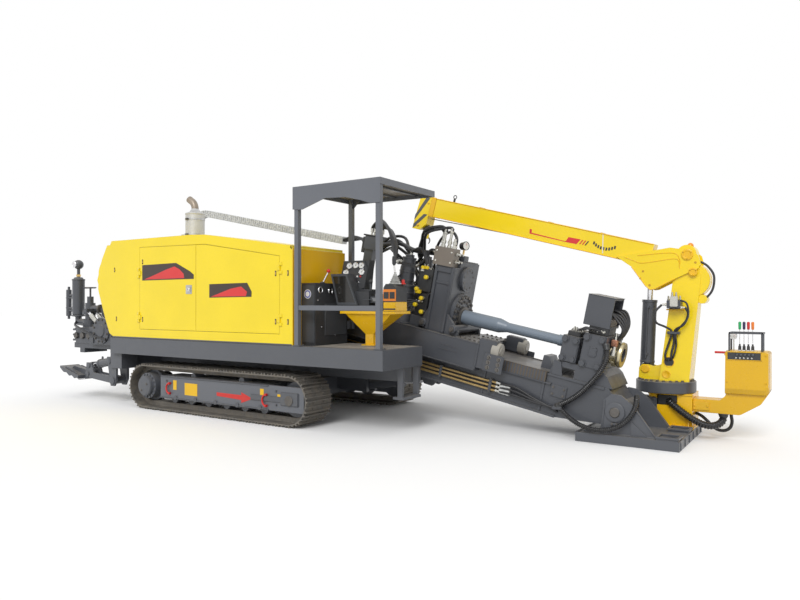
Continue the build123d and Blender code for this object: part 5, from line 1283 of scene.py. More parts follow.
class DRILL_OT_gearbox(bpy.types.Operator):
    """Flange bolts, ribs, fittings, gauge and valves of the rotary gearbox and its motors"""

    bl_idname = "drill.gearbox"
    bl_label = "Gearbox and motors"

    def execute(self, context):
        dress_gearbox()
        return {"FINISHED"}


def dress_mast():
    """Dress the mast, its pipes and the drag hose."""
    lips = Form("mast", mast)
    for w in (0.3, -0.3):
        side = 1 if w > 0 else -1
        lips.box((-3.48, 3.2), (-0.79, -0.765), (w - side * 0.01, w + side * 0.02), 0.003)
        lips.box((-3.48, 3.66), (-0.36, -0.33), (w - side * 0.01, w + side * 0.014), 0.003)
        for u in (-3.3, -2.6, -1.9, -1.2, -0.5, 0.2, 0.9, 1.6, 2.3, 3):
            lips.box((u, u + 0.03), (-0.765, -0.45), (w, w + side * 0.012), 0.003)
        lips.box((2.26, 3.1), (-0.452, -0.435), (w, w + side * 0.03), 0.002)
    for k in range(23):
        u = 2.2355 + k * 0.0355
        for w in (0.3, -0.3):
            side = 1 if w > 0 else -1
            lips.box((u - 0.0005, u + 0.0181), (-0.436, -0.3235), (w, w + side * 0.0315), 0.001, "rack")
    lips.box((2.2, 3.05), (-0.3255, -0.3215), (0.296, 0.333), 0.001, "rack")
    lips.box((2.2, 3.05), (-0.3255, -0.3215), (-0.333, -0.296), 0.001, "rack")
    lips.make("mast_lips", "mast")
    pipes = []
    for k in range(3):
        v = -0.6 - k * 0.045
        pipes.append(([mast(-0.6, v, 0.33), mast(0.4, v, 0.33), mast(1.6, v, 0.33),
            mast(2.25 + 0.05 * k, v, 0.33), mast(2.5, v + 0.008, 0.335)], 0.014))
    make_hoses("mast_pipes", "mast", pipes, "pipe_gold", step=0.06)
    clamps = Form("mast", mast)
    for u in (-0.4, 0.3, 1, 1.75, 2.4):
        clamps.box((u, u + 0.035), (-0.72, -0.57), (0.298, 0.352), 0.004)
        bolt("mast", mast(u + 0.017, -0.585, 0.352), NEAR, 0.5)
        bolt("mast", mast(u + 0.017, -0.705, 0.352), NEAR, 0.5)
    for k in range(3):
        v = -0.592 - k * 0.045
        clamps.lathe(mast(2.49, v, 0.335), ALONG, stud(0.019, 0.02, 0.016, 0.022, 0.05), 8, "nickel")
    clamps.box((2.53, 2.66), (-0.7, -0.6), (0.3, 0.345), 0.004, "zinc")
    clamps.make("pipe_clamps", "mast")
    hoses = []
    for k in range(3):
        v = -0.592 - k * 0.045
        hoses.append(([mast(2.53, v, 0.335), mast(2.72, v + 0.01, 0.345), mast(2.95, -0.64 - 0.02 * k, 0.35),
            mast(3.12 + 0.02 * k, -0.68, 0.34), mast(3.22, -0.72, 0.31)], 0.014))
    make_hoses("mast_side_hoses", "mast", hoses)
    nose = Form("mast", mast)
    nose.lathe(mast(-3.5, -0.5), -ALONG, [(0, 0.1), (0.02, 0.1), (0.021, 0)])
    for w in (0.3, -0.3):
        side = NEAR if w > 0 else FAR
        nose.box((3.1, 3.28), (-0.57, -0.44), (w, w + (0.012 if w > 0 else -0.012)), 0.004)
        for u in (3.13, 3.25):
            for v in (-0.54, -0.47):
                bolt("mast", mast(u, v, w + (0.012 if w > 0 else -0.012)), side, 0.6)
    nose.make("mast_plates", "mast")
    path = [mast(u, 0.605, -0.5) for u in (-0.62, -1.6, -2.6, -3.5)]
    turn = [mast(-3.54 - 0.245 * sin(a), 0.605 - 0.245 + 0.245 * cos(a), -0.5)
        for a in (pi * k / 14 for k in range(15))]
    lower = [mast(u, 0.115, -0.5) for u in (-3.4, -3.1, -2.87)]
    curve = bpy.data.curves.new("carrier_line", "CURVE")
    curve.dimensions = "3D"
    spline = curve.splines.new("POLY")
    points = path + turn + lower
    spline.points.add(len(points) - 1)
    for item, point in zip(spline.points, points):
        item.co = (*point, 1)
    made = grown(bpy.data.objects.new("carrier_links", curve), TREES["links"], "zinc",
        {"Pitch": 0.045, "Height": 0.101, "Width": 0.112})
    settle("carrier_links", made, "drag_hose")
    loose = []
    for k in range(3):
        w = -0.525 + 0.025 * k
        loose.append(([mast(-0.62, 0.6, w), mast(-0.45, 0.64 + 0.02 * k, w), mast(-0.25, 0.68, w + 0.06),
            mast(-0.14, 0.64, w + 0.12)], 0.02))
    make_hoses("carrier_end_hoses", "carriage", loose)


class DRILL_OT_mast(bpy.types.Operator):
    """Pipes, clamps, lips, rack and drag hose along the mast"""

    bl_idname = "drill.mast"
    bl_label = "Mast"

    def execute(self, context):
        dress_mast()
        return {"FINISHED"}


def dress_vise():
    """Dress the two vises."""
    for u, v in ((3.385, -0.14), (3.545, -0.14), (3.385, 0.14), (3.545, 0.14)):
        bolt("mast", mast(u, v, 0.315), NEAR, 1.8, "mast")
        bolt("mast", mast(u, v, -0.315), FAR, 1.8, "mast")
    for u, v in ((3.16, -0.13), (3.275, -0.13), (3.16, 0.07), (3.275, 0.07)):
        bolt("breakout", mast(u, v, 0.315), NEAR, 1.7, "mast")
    plates = Form("mast", mast)
    for side in (1, -1):
        plates.box((3.35, 3.58), (-0.176, 0.176), (side * 0.3, side * 0.313), 0.006)
        plates.box((3.42, 3.51), (-0.05, 0.05), (side * 0.312, side * 0.322), 0.01)
    plates.box((3.295, 3.3), (0.27, 0.57), (-0.09, 0.24))
    plates.plate([mast(3.29, 0.58, w) for w in (-0.105, 0.255)] + [mast(3.575, 0.58, w)
        for w in (0.255, -0.105)], UPRIGHT * 0.006)
    plates.plate([mast(3.08, -0.33, 0.302), mast(3.2, -0.33, 0.302), mast(3.16, -0.18, 0.302),
        mast(3.08, -0.18, 0.302)], NEAR * 0.014)
    plates.box((3.345, 3.59), (-0.325, -0.175), (-0.17, -0.13))
    plates.make("vise_plates", "mast")
    moving = Form("mast", mast)
    moving.box((3.13, 3.305), (-0.166, 0.106), (0.3, 0.313), 0.006)
    moving.box((3.15, 3.29), (0.1, 0.16), (0.06, 0.25), 0.006, "engine")
    for k in range(4):
        moving.lathe(mast(3.165 + k * 0.035, 0.16, 0.1 + 0.03 * (k % 2)), UPRIGHT,
            stud(0.014, 0.015, 0.01, 0.017, 0.04), 6, "nickel")
    moving.make("breakout_plates", "breakout")
    guide = Form("gold_steel")
    guide.lathe(mast(3.585, 0), ALONG, [(0, 0.112), (0.02, 0.112), (0.03, 0.107), (0.075, 0.107),
        (0.08, 0.133), (0.095, 0.14), (0.12, 0.133), (0.122, 0.1), (0.12, 0.0735), (0.02, 0.073), (0, 0.073)],
        40)
    for k in range(8):
        a = tau * k / 8
        guide.lathe(mast(3.6, 0.12 * cos(a), 0.12 * sin(a)), ALONG, disc(0.018, 0.04, 0.012, 0.045), 12)
    guide.make("guide_flange", "mast")
    valves = Form("nickel", mast)
    valves.box((3.34, 3.56), (0.262, 0.36), (-0.05, 0.2), 0.006, "block")
    valves.box((3.36, 3.57), (0.18, 0.262), (0.205, 0.245), 0.005, "engine")
    for k in range(6):
        u = 3.37 + k * 0.032
        valves.lathe(mast(u, 0.36, 0.02 + 0.06 * (k % 3)), UPRIGHT, stud(0.014, 0.03, 0.01, 0.032, 0.09), 8)
        valves.lathe(mast(u, 0.22, 0.245), NEAR, stud(0.013, 0.015, 0.01, 0.017, 0.04), 6)
    valves.box((3.6, 3.66), (0.09, 0.16), (0.12, 0.19), 0.006, "copper")
    valves.lathe(mast(3.63, 0.09, 0.15), -UPRIGHT, stud(0.022, 0.04, 0.028, 0.05, 0.1), 12)
    valves.lathe(mast(3.63, 0.16, 0.15), UPRIGHT, stud(0.02, 0.03, 0.014, 0.033, 0.07), 12)
    valves.box((3.58, 3.64), (0.1, 0.15), (-0.02, 0.12), 0.006, "mast")
    valves.make("vise_valves", "mast")
    runs = []
    for k in range(6):
        w = -0.04 + 0.045 * k
        runs.append(([mast(3.5, 0.42 + 0.02 * (k % 3), w), mast(3.62, 0.46 - 0.02 * k, w),
            mast(3.69, 0.34 - 0.01 * k, w + 0.01), mast(3.67, 0.2, w * 0.6 + 0.05),
            mast(3.6, 0.12, w * 0.3 + 0.08)], 0.013))
    for k in range(3):
        runs.append(([mast(3.4 + 0.05 * k, 0.22, 0.285), mast(3.36 + 0.03 * k, 0.24, 0.34),
            mast(3.3, 0.2, 0.33), mast(3.25, 0.19, 0.25 - 0.03 * k)], 0.011))
    make_hoses("vise_hoses", "mast", runs)


class DRILL_OT_vise(bpy.types.Operator):
    """Corner bolts, guide flange, valves and hoses of the front vises"""

    bl_idname = "drill.vise"
    bl_label = "Front vises"

    def execute(self, context):
        dress_vise()
        return {"FINISHED"}


def dress_anchor():
    """Dress the anchor plate."""
    rims = Form("frame")
    for x, y in ((4.148, -0.035), (4.151, 0.488)):
        for dx0, dx1, dy0, dy1 in ((-0.11, 0.11, -0.11, -0.085), (-0.11, 0.11, 0.085, 0.11),
                (-0.11, -0.085, -0.085, 0.085), (0.085, 0.11, -0.085, 0.085)):
            rims.box((x + dx0, x + dx1), (y + dy0, y + dy1), (0.108, 0.13), 0.004)
    for w in (0.336, -0.336):
        side = NEAR if w > 0 else FAR
        y = 0.27 - w
        centre = Vector((3.634, y, 0.318))
        rims.lathe(centre, side, [(-0.002, 0.1), (0.012, 0.1), (0.016, 0.094), (0.016, 0.055)], 36)
        rims.lathe(centre, side, disc(0.052, 0.024, 0.045, 0.03, 0.01), 30, "dark_steel")
        rims.box((3.6, 3.668), (y, y + side.y * 0.034), (0.19, 0.212), 0.003)
        bolt("anchor", (3.61, y + side.y * 0.034, 0.201), side, 0.5)
        bolt("anchor", (3.658, y + side.y * 0.034, 0.201), side, 0.5)
        for x0, z0, x1, z1 in ((3.5, 0.1, 3.535, 0.44), (3.81, 0.395, 4.03, 0.1)):
            rims.rod((x0, y, z0), (x1, y, z1), 0.007, 8)
        rims.rod((3.49, y + side.y * 0.003, 0.096), (4.03, y + side.y * 0.003, 0.096), 0.009, 8)
        rims.plate([(3.79, y, 0.1), (3.95, y, 0.1), (3.79, y, 0.25)], side * 0.012)
    rims.box((3.25, 3.27), (-0.13, 1.1), (0.09, 0.103), 0.003)
    for k in range(6):
        y = -0.08 + k * 0.22
        rims.box((4.255, 4.27), (y, y + 0.015), (0.01, 0.085), 0.003)
    rims.box((3.3, 3.4), (-0.05, 0.05), (0.0935, 0.106), 0.004)
    rims.make("anchor_rims", "anchor")


class DRILL_OT_anchor(bpy.types.Operator):
    """Weld beads, pin heads, stake hole rims and ribs of the anchor plate"""

    bl_idname = "drill.anchor"
    bl_label = "Anchor plate"

    def execute(self, context):
        dress_anchor()
        return {"FINISHED"}


# Routes of the free hoses, from one end to the other
VISE_HOSE = [(3.542, -0.058, 0.99), (3.566, -0.084, 0.91), (3.545, -0.104, 0.81), (3.475, -0.11, 0.695),
    (3.38, -0.11, 0.585), (3.27, -0.105, 0.475), (3.15, -0.1, 0.395), (3.037, -0.085, 0.335)]
ANCHOR_HOSE = [(3.04, -0.084, 0.338), (3.122, -0.112, 0.268), (3.222, -0.148, 0.206), (3.34, -0.168, 0.158),
    (3.465, -0.17, 0.137), (3.59, -0.166, 0.148), (3.705, -0.148, 0.196), (3.79, -0.124, 0.28),
    (3.838, -0.098, 0.374), (3.842, -0.036, 0.454), (3.818, 0.056, 0.482), (3.794, 0.142, 0.436),
    (3.782, 0.184, 0.344), (3.782, 0.19, 0.236), (3.782, 0.19, 0.112)]
CONSOLE_HOSE = [(3.99, 0.796, 0.386), (3.99, 0.72, 0.386), (4.02, 0.642, 0.366), (4.09, 0.612, 0.32),
    (4.17, 0.606, 0.262), (4.252, 0.603, 0.21), (4.338, 0.602, 0.17), (4.416, 0.628, 0.15),
    (4.48, 0.668, 0.16), (4.52, 0.71, 0.19), (4.531, 0.73, 0.228), (4.531, 0.73, 0.265)]
LOOP_HOSE = [(4.2, 0.86, 0.25), (4.28, 0.86, 0.235), (4.36, 0.86, 0.165), (4.43, 0.86, 0.09),
    (4.51, 0.86, 0.07), (4.58, 0.86, 0.105), (4.6, 0.86, 0.175), (4.59, 0.86, 0.235), (4.585, 0.86, 0.28)]


def dress_crane():
    """Dress the crane from its base to its hook."""
    near, far = 0.7536, 0.9464

    def marks(form, corners, finish, thick=0.0012):
        """The same outline on both sides of the boom."""
        form.plate([boom(s, h, near) for s, h in corners], NEAR * thick, finish=finish)
        form.plate([boom(s, h, far) for s, h in corners], FAR * thick, finish=finish)

    text = Form()
    marks(text, [(1.82, -0.095), (1.79, -0.095), (1.785, -0.135), (1.34, -0.147), (1.34, -0.155),
        (1.81, -0.15)], "badge_red")
    marks(text, [(1.32, -0.092), (1.17, -0.088), (1.205, -0.152), (1.345, -0.156)], "badge_red")
    for k in range(3):
        s = 1.15 - k * 0.034
        marks(text, [(s, -0.09), (s - 0.016, -0.09), (s + 0.012, -0.145), (s + 0.026, -0.145)],
            "badge_red" if k < 2 else "console")
    marks(text, [(0.936, 0.03), (0.926, 0.03), (0.874, -0.19), (0.884, -0.19)], "dial", 0.0016)
    for k in range(9):
        a = radians(-34 + k * 8.5)
        c = (0.885 - 0.22 * sin(a), 0.1 - 0.24 * cos(a))
        marks(text, [(c[0] - 0.012, c[1] + 0.022), (c[0] + 0.008, c[1] + 0.022), (c[0] + 0.008, c[1] - 0.014),
            (c[0] - 0.012, c[1] - 0.014)], "console", 0.001)
    text.make("boom_marks", "boom")
    shape = Form("crane", boom)
    for y in (near, far):
        for h in (0.027, -0.21):
            shape.rod(boom(0.36, h, y), boom(3.26, h, y), 0.0065, 8)
    for s in (2.55, 1.6, 0.95):
        shape.box((s, s + 0.02), (0.033, 0.04), (near + 0.02, far - 0.02), 0.002)
    shape.box((2.975, 3), (0.03, 0.085), (0.84, 0.86), 0.003, "console")
    shape.hoop(boom(2.988, 0.1), FAR, 0.022, 0.006, 20, "console")
    shape.box((3.2, 3.272), (-0.222, 0.04), (near - 0.008, near + 0.001), 0.003)
    shape.box((3.2, 3.272), (-0.222, 0.04), (far - 0.001, far + 0.008), 0.003)
    for y, side in ((0.734, NEAR), (0.966, FAR)):
        line = [(3.52, 1.94), (3.62, 1.9), (3.72, 1.87), (4.02, 1.905), (4.09, 1.885), (4.1, 1.8)]
        upper = [(3.66, 1.955), (3.95, 1.972), (4.06, 1.96), (4.1, 1.9), (4.105, 1.85)]
        for chain in (line, upper):
            points = smooth_path([(x, y, z) for x, z in chain], 5)
            for a, b in zip(points, points[1:]):
                shape.rod(a, b, 0.0045, 6)
        for x, z, r in ((4.178, 1.948, 0.06), (4.236, 1.76, 0.045)):
            shape.lathe((x, y, z), side, [(-0.002, r), (0.012, r), (0.016, r * 0.9), (0.016, r * 0.66),
                (0.011, r * 0.6), (0.011, 0)], 32)
            for k in range(3):
                a = tau * k / 3 + 0.5
                bolt("boom", (x + r * 0.78 * cos(a), y + side.y * 0.016, z + r * 0.78 * sin(a)), side, 0.3,
                    "crane")
        # Small discs in a deeper orange on both sides of the boom, as painted shade in recesses.
        for x, z in ((3.72, 1.78), (3.69, 1.7), (3.79, 1.625), (4.26, 1.86)):
            shape.lathe((x, y, z), side, [(0, 0.012), (0.004, 0.012), (0.005, 0)], 16, "crane_shadow")
        edge = [(3.596, 1.831), (3.746, 1.618), (3.794, 1.575), (3.843, 1.582), (4.049, 1.688)]
        for (x0, z0), (x1, z1) in zip(edge, edge[1:]):
            shape.rod((x0, y, z0), (x1, y, z1), 0.006, 8)
    shape.plate([(3.44, 0.75, 1.955), (3.6, 0.75, 1.835), (3.6, 0.95, 1.835), (3.44, 0.95, 1.955)],
        Vector((0.006, 0, 0.01)))
    shape.make("boom_forms", "boom")
    beacon = Form("console")
    beacon.lathe((4.19, 0.85, 1.99), UP, stud(0.04, 0.02, 0.034, 0.022, 0.028), 28)
    beacon.lathe((4.19, 0.85, 2.016), UP, [(0, 0.033), (0.03, 0.034), (0.05, 0.028), (0.062, 0.014),
        (0.065, 0)], 28, "lamp_amber")
    beacon.make("beacon", "boom")

    tip = Form("dark_steel")
    for y, side in ((near, NEAR), (far, FAR)):
        for corners in (((3.3, 0.02), (3.36, 0.02), (3.5, -0.235), (3.49, -0.3), (3.47, -0.3)),
                ((3.29, -0.2), (3.345, -0.2), (3.475, -0.36), (3.472, -0.41), (3.45, -0.4))):
            inside = [(min(s, 3.45 + (0.03 if h < -0.2 else 0) - 0.004), h) for s, h in corners]
            tip.plate([boom(s, h, y) for s, h in inside], side * 0.0014, finish="stripe_grey")
        bolt("boom_tip", boom(3.31, -0.05, y), side, 0.6, "crane")
        bolt("boom_tip", boom(3.4, -0.36, y), side, 0.8, "crane")
    tip.hoop(boom(3.42, -0.37), FAR, 0.03, 0.012, 24)
    tip.box((0.83, 0.905), (0.82, 0.88), (2.36, 2.49), 0.01)
    tip.lathe((0.868, 0.808, 2.425), FAR, [(0, 0.034), (0.012, 0.04), (0.07, 0.04), (0.084, 0.034)], 28)
    hook = []
    for k in range(14):
        a = radians(200 - k * 20)
        hook.append(Vector((0.868 + 0.045 * cos(a), 0.85, 2.265 + 0.045 * sin(a))))
    loops = []
    for k, point in enumerate(hook):
        thick = 0.012 - 0.005 * abs(k - 6) / 7
        out = (point - Vector((0.868, 0.85, 2.265))).normalized()
        loops.append(section(point, thick, out, FAR))
    tip.rings(loops)
    tip.rod((0.868, 0.85, 2.36), (0.868, 0.85, 2.3), 0.016, 16)
    tip.make("boom_tip_fittings", "boom_tip")

    column = Form("mast")
    ring_centre = Vector((3.936, 0.85, 0.461))
    column.lathe(ring_centre, UP, [(0, 0.306), (0.006, 0.3115), (0.117, 0.3115), (0.123, 0.306),
        (0.1245, 0.16)], 64)
    column.make("slewing_ring", "column")
    bolt_circle("column", ring_centre + UP * 0.1255, UP, 0.275, 26, 0.8)
    fittings = Form("crane")
    face = 0.745
    centre = near_face("crane_column", 3.996, 0.79)
    fittings.lathe(centre, NEAR, [(-0.004, 0.058), (0.004, 0.058), (0.006, 0.052), (0.002, 0.049)], 32)
    fittings.lathe(centre, NEAR, [(-0.004, 0.051), (0.0022, 0.051), (0.0024, 0)], 32, "engine")
    fittings.box((3.99, 4.13), (face - 0.13, face + 0.01), (1.37, 1.46), 0.006, "mast")
    fittings.box((4.03, 4.11), (face - 0.17, face - 0.12), (1.39, 1.5), 0.006, "nickel")
    for x, z in ((4, 1.465), (4.04, 1.505), (4.08, 1.505), (4.12, 1.465)):
        fittings.lathe((x, face - 0.08, z - 0.01), UP, stud(0.013, 0.02, 0.009, 0.022, 0.05), 8, "nickel")
    fittings.lathe((3.985, face - 0.07, 1.41), REAR, stud(0.016, 0.02, 0.011, 0.022, 0.05), 8, "nickel")
    fittings.lathe((4.12, face - 0.08, 1.38), FRONT, stud(0.016, 0.02, 0.011, 0.022, 0.05), 8, "nickel")
    clamp = near_face("crane_column", 4.05, 1.107).y
    fittings.box((3.985, 4.11), (clamp - 0.06, clamp + 0.002), (1.093, 1.122), 0.004, "mast")
    for x in (3.997, 4.098):
        bolt("column", (x, clamp - 0.06, 1.107), NEAR, 0.4, "mast")
    fittings.box((3.97, 4.15), (face - 0.045, face + 0.01), (1.35, 1.365), 0.003)
    fittings.lathe((3.97, 0.703817, 0.655), NEAR, [(0, 0.045), (0.004, 0.045), (0.005, 0.04), (0.005, 0.034),
        (0.002, 0.03), (0.002, 0)], 32)
    for y, side in ((0.774, NEAR), (0.926, FAR)):
        fittings.lathe((3.735, y, 0.7), side, disc(0.045, 0.014, 0.04, 0.018, -0.002), 28)
        fittings.lathe((4.215, y - side.y * 0.01, 1.672), side,
            [(0, 0.182), (0.012, 0.182), (0.015, 0.176), (0.015, 0.14), (0.006, 0.13), (0.006, 0.05),
            (0.02, 0.045), (0.02, 0)], 48)
    for k in range(4):
        z = 0.66 + k * 0.02
        fittings.rod((3.66, 0.771, z), (3.661, 0.771, z), 0.002, 6)
    fittings.box((4.2, 4.206), (0.74, 0.78), (1.28, 1.35), 0.002, "console")
    fittings.make("column_fittings", "column")
    cable = [([(3.93, face - 0.07, 1.41), (3.87, face - 0.1, 1.33), (3.88, face - 0.11, 1.22),
        (3.97, face - 0.08, 1.17), (4.03, face - 0.06, 1.12), (4, face - 0.05, 1),
        (3.965, face - 0.06, 0.88), (3.97, face - 0.05, 0.82), (3.985, face - 0.02, 0.8)], 0.012),
        ([(4.17, face - 0.08, 1.38), (4.2, face - 0.09, 1.31), (4.16, face - 0.1, 1.2),
        (4.08, face - 0.08, 1.15), (4.055, face - 0.06, 1.1), (4.05, face - 0.05, 1),
        (4.03, face - 0.06, 0.9), (4.02, face - 0.05, 0.83), (4.005, face - 0.02, 0.8)], 0.012),
        ([(4.12, face - 0.09, 1.46), (4.19, face - 0.1, 1.42), (4.2, face - 0.1, 1.28),
        (4.12, face - 0.09, 1.17), (4.07, face - 0.06, 1.1), (4.075, face - 0.05, 0.98),
        (4.05, face - 0.06, 0.86), (4.01, face - 0.02, 0.81)], 0.01)]
    make_hoses("column_hoses", "column", cable, step=0.012)
    rear_hose = [([(4.3, 0.8, 1.87), (4.37, 0.8, 1.82), (4.43, 0.8, 1.72), (4.42, 0.8, 1.58),
        (4.36, 0.8, 1.49), (4.28, 0.8, 1.46)], 0.012)]
    make_hoses("winch_hose", "column", rear_hose, step=0.012)

    lift = Form("mast")
    foot, head = Vector((3.735, 0.85, 0.7)), Vector((3.775, 0.85, 1.655))
    axis = (head - foot).normalized()
    for low, high, r in ((0.735, 0.765, 0.081), (0.065, 0.09, 0.08)):
        lift.lathe(foot + axis * low, axis, [(0, r - 0.003), (0.003, r), (high - low - 0.003, r),
            (high - low, r - 0.003)], 36)
    lift.rod(foot + axis * 0.12 + Vector((0, -0.088, 0)), foot + axis * 0.7 + Vector((0, -0.088, 0)),
        0.009, 10)
    for low in (0.15, 0.67):
        lift.box((3.725 + low * 0.04, 3.76 + low * 0.04), (0.752, 0.78), (0.7 + low, 0.725 + low), 0.003)
    lift.make("lift_cylinder_pipe", "lift_barrel")
    rope = Form("wire")
    start = boom(3.27, -0.245)
    line = [start.lerp(Vector((3.62, 0.85, 1.93)), k / 24) for k in range(25)]
    loops = [section(p, 0.006, LIFT, FAR) for p in line]
    rope.rings(loops)
    rope.make("winch_rope", "boom")
    base = Form("crane")
    for x in (3.76, 3.86, 3.96, 4.06, 4.16, 4.24):
        for y in (0.65, 1.078):
            bolt("anchor", (x, y, 0.1205), UP, 0.8, "crane")
    base.box((3.79, 4.25), (0.652, 0.66), (0.44, 0.458), 0.003)
    for x in (3.82, 4.2):
        base.plate([(x, 0.66, 0.12), (x, 0.63, 0.12), (x, 0.66, 0.2)], FRONT * 0.014)
    base.box((3.66, 3.884), (0.645, 0.806), (0.255, 0.412), 0.012, "mast")
    base.lathe((3.664, 0.725, 0.333), REAR, [(0, 0.076), (0.02, 0.076), (0.026, 0.07), (0.026, 0.05),
        (0.034, 0.045), (0.034, 0)], 36, "mast")
    base.lathe((3.745, 0.646, 0.333), NEAR, disc(0.045, 0.012, 0.04, 0.016), 28, "mast")
    for x in (3.69, 3.85):
        for z in (0.275, 0.392):
            bolt("anchor", (x, 0.645, z), NEAR, 0.6, "mast")
    base.box((3.895, 4.085), (0.664, 0.8), (0.336, 0.436), finish="engine")
    base.box((4, 4.15), (0.652, 0.662), (0.45, 0.46), 0.002)
    base.make("crane_base_fittings", "anchor")


class DRILL_OT_crane(bpy.types.Operator):
    """Stripes, marks, bosses, hoses, hook and rope of the crane"""

    bl_idname = "drill.crane"
    bl_label = "Crane"

    def execute(self, context):
        dress_crane()
        return {"FINISHED"}


def dress_console():
    """Build the crane's console in place of the CAD node."""
    def rounded(corners):
        """An outline of x, z and a corner radius, with its corners drawn as arcs."""
        points = []
        for k, (x, z, radius) in enumerate(corners):
            spot = Vector((x, z))
            before = (Vector(corners[k - 1][:2]) - spot).normalized()
            after = (Vector(corners[(k + 1) % len(corners)][:2]) - spot).normalized()
            if not radius:
                points.append(spot)
                continue
            half = before.angle(after) / 2
            middle = spot + (before + after).normalized() * radius / sin(half)
            first = spot + before * radius / tan(half) - middle
            sweep = first.angle_signed(spot + after * radius / tan(half) - middle)
            for step in range(7):
                turn = -sweep * step / 6
                points.append(middle + Vector((first.x * cos(turn) - first.y * sin(turn),
                    first.x * sin(turn) + first.y * cos(turn))))
        return points

    housing = Form("mast")
    outline = rounded([(4.2406, 0.277, 0), (4.69, 0.277, 0.07), (4.88, 0.4, 0.06), (4.96, 0.53, 0.07),
        (4.96, 0.937, 0.025), (4.555, 0.937, 0.012), (4.55, 0.56, 0.02), (4.557, 0.47, 0.03),
        (4.5, 0.415, 0.02), (4.2406, 0.415, 0)])
    housing.plate([(p.x, 0.7, p.y) for p in outline], FAR * 0.22, 0.004, "box_yellow")
    inner = rounded([(4.5515, 0.49, 0), (4.93, 0.49, 0.02), (4.9585, 0.54, 0.03), (4.9585, 0.935, 0.025),
        (4.5555, 0.935, 0.012)])
    outer = rounded([(4.556, 0.556, 0), (4.92, 0.556, 0.02), (4.952, 0.58, 0.03), (4.952, 0.93, 0.025),
        (4.56, 0.93, 0.012)])
    middle = [a.lerp(b, 0.15) for a, b in zip(inner, outer)]
    near_edge = [a.lerp(b, 0.85) for a, b in zip(inner, outer)]
    housing.rings([[Vector((p.x, y, p.y)) for p in loop] for y,
        loop in ((0.704, inner), (0.668, middle), (0.6462, near_edge), (0.6402, outer))], "box_yellow")
    housing.plate([(4.242, 0.7, 0.3), (4.4, 0.7, 0.3), (4.4, 0.7, 0.392), (4.242, 0.7, 0.392)], NEAR * 0.012,
        0.002, "box_yellow")
    for x in (4.255, 4.385):
        bolt("anchor", (x, 0.688, 0.346), NEAR, 0.5, "crane")
    for x in (4.59, 4.89):
        for y in (0.7, 0.86):
            housing.rod((x, y, 0.93), (x, y, 1.116), 0.009, 12)
    housing.lathe((4.531, 0.73, 0.279), -UP, [(0, 0.05), (0.016, 0.05), (0.02, 0.044), (0.034, 0.044),
        (0.036, 0.036)], 28, "engine")
    for x, knob in ((4.68, "knob_green"), (4.72, "knob_violet"), (4.76, "red"), (4.8, "knob_orange")):
        housing.lathe((x, 0.77, 1.155), UP, [(0, 0.009), (0.006, 0.013), (0.07, 0.0145), (0.08, 0.01),
            (0.083, 0)], 20, knob)
        housing.rod((x, 0.77, 0.99), (x, 0.77, 1.16), 0.0055, 12, "chrome")
        housing.lathe((x, 0.77, 0.935), UP, [(0, 0.016), (0.05, 0.014), (0.052, 0.009), (0.07, 0.0085)], 16,
            "console")
        housing.box((x - 0.014, x + 0.014), (0.745, 0.795), (0.934, 0.945), 0.003, "chrome")
    housing.rod((4.625, 0.77, 0.935), (4.625, 0.77, 1.06), 0.006, 10, "nickel")
    housing.lathe((4.625, 0.785, 1.085), NEAR, [(0, 0.034), (0.026, 0.036), (0.03, 0.036), (0.031, 0.032),
        (0.028, 0.031)], 32, "chrome")
    housing.lathe((4.625, 0.785, 1.085), NEAR, [(0.01, 0.0315), (0.0285, 0.0315), (0.0287, 0)], 32, "dial")
    housing.rod((4.625, 0.7562, 1.085), (4.638, 0.7558, 1.103), 0.0014, 6, "red")
    housing.rod((4.555, 0.72, 0.915), (4.45, 0.72, 0.915), 0.012, 16, "red")
    housing.box((4.585, 4.905), (0.69, 0.702), (1.112, 1.13), 0.003)
    housing.box((4.585, 4.905), (0.858, 0.87), (1.112, 1.13), 0.003)
    for x in (4.585, 4.885):
        housing.box((x, x + 0.016), (0.69, 0.87), (1.112, 1.13), 0.003)
    housing.box((4.885, 4.905), (0.69, 0.715), (0.937, 1.115), 0.004)
    housing.make("console_housing", "anchor", ["crane_console"])
    window = Form("crane")
    y = 0.6396
    window.box((4.58, 4.885), (y - 0.001, y + 0.0005), (0.852, 0.925), finish="console")
    window.box((4.574, 4.891), (y - 0.004, y - 0.0006), (0.925, 0.932), 0.001)
    window.box((4.574, 4.891), (y - 0.004, y - 0.0006), (0.845, 0.852), 0.001)
    window.box((4.574, 4.581), (y - 0.004, y - 0.0006), (0.845, 0.932), 0.001)
    window.box((4.884, 4.891), (y - 0.004, y - 0.0006), (0.845, 0.932), 0.001)
    for k in range(5):
        x = 4.66 + k * 0.036
        window.lathe((x, y - 0.001, 0.87), NEAR, [(0, 0.009), (0.006, 0.008), (0.007, 0)], 12, "nickel")
        window.lathe((x + 0.01, y - 0.001, 0.902), NEAR, disc(0.012, 0.008, 0.008, 0.01), 14, "mast")
    for x, z in ((4.575, 0.62), (4.93, 0.62), (4.93, 0.9), (4.56, 0.9)):
        bolt("anchor", (x, y, z), NEAR, 0.4, "crane")
    window.make("console_window", "anchor")


class DRILL_OT_console(bpy.types.Operator):
    """Levers, gauge, guard and window of the crane's console"""

    bl_idname = "drill.crane_controls"
    bl_label = "Crane console"

    def execute(self, context):
        dress_console()
        return {"FINISHED"}


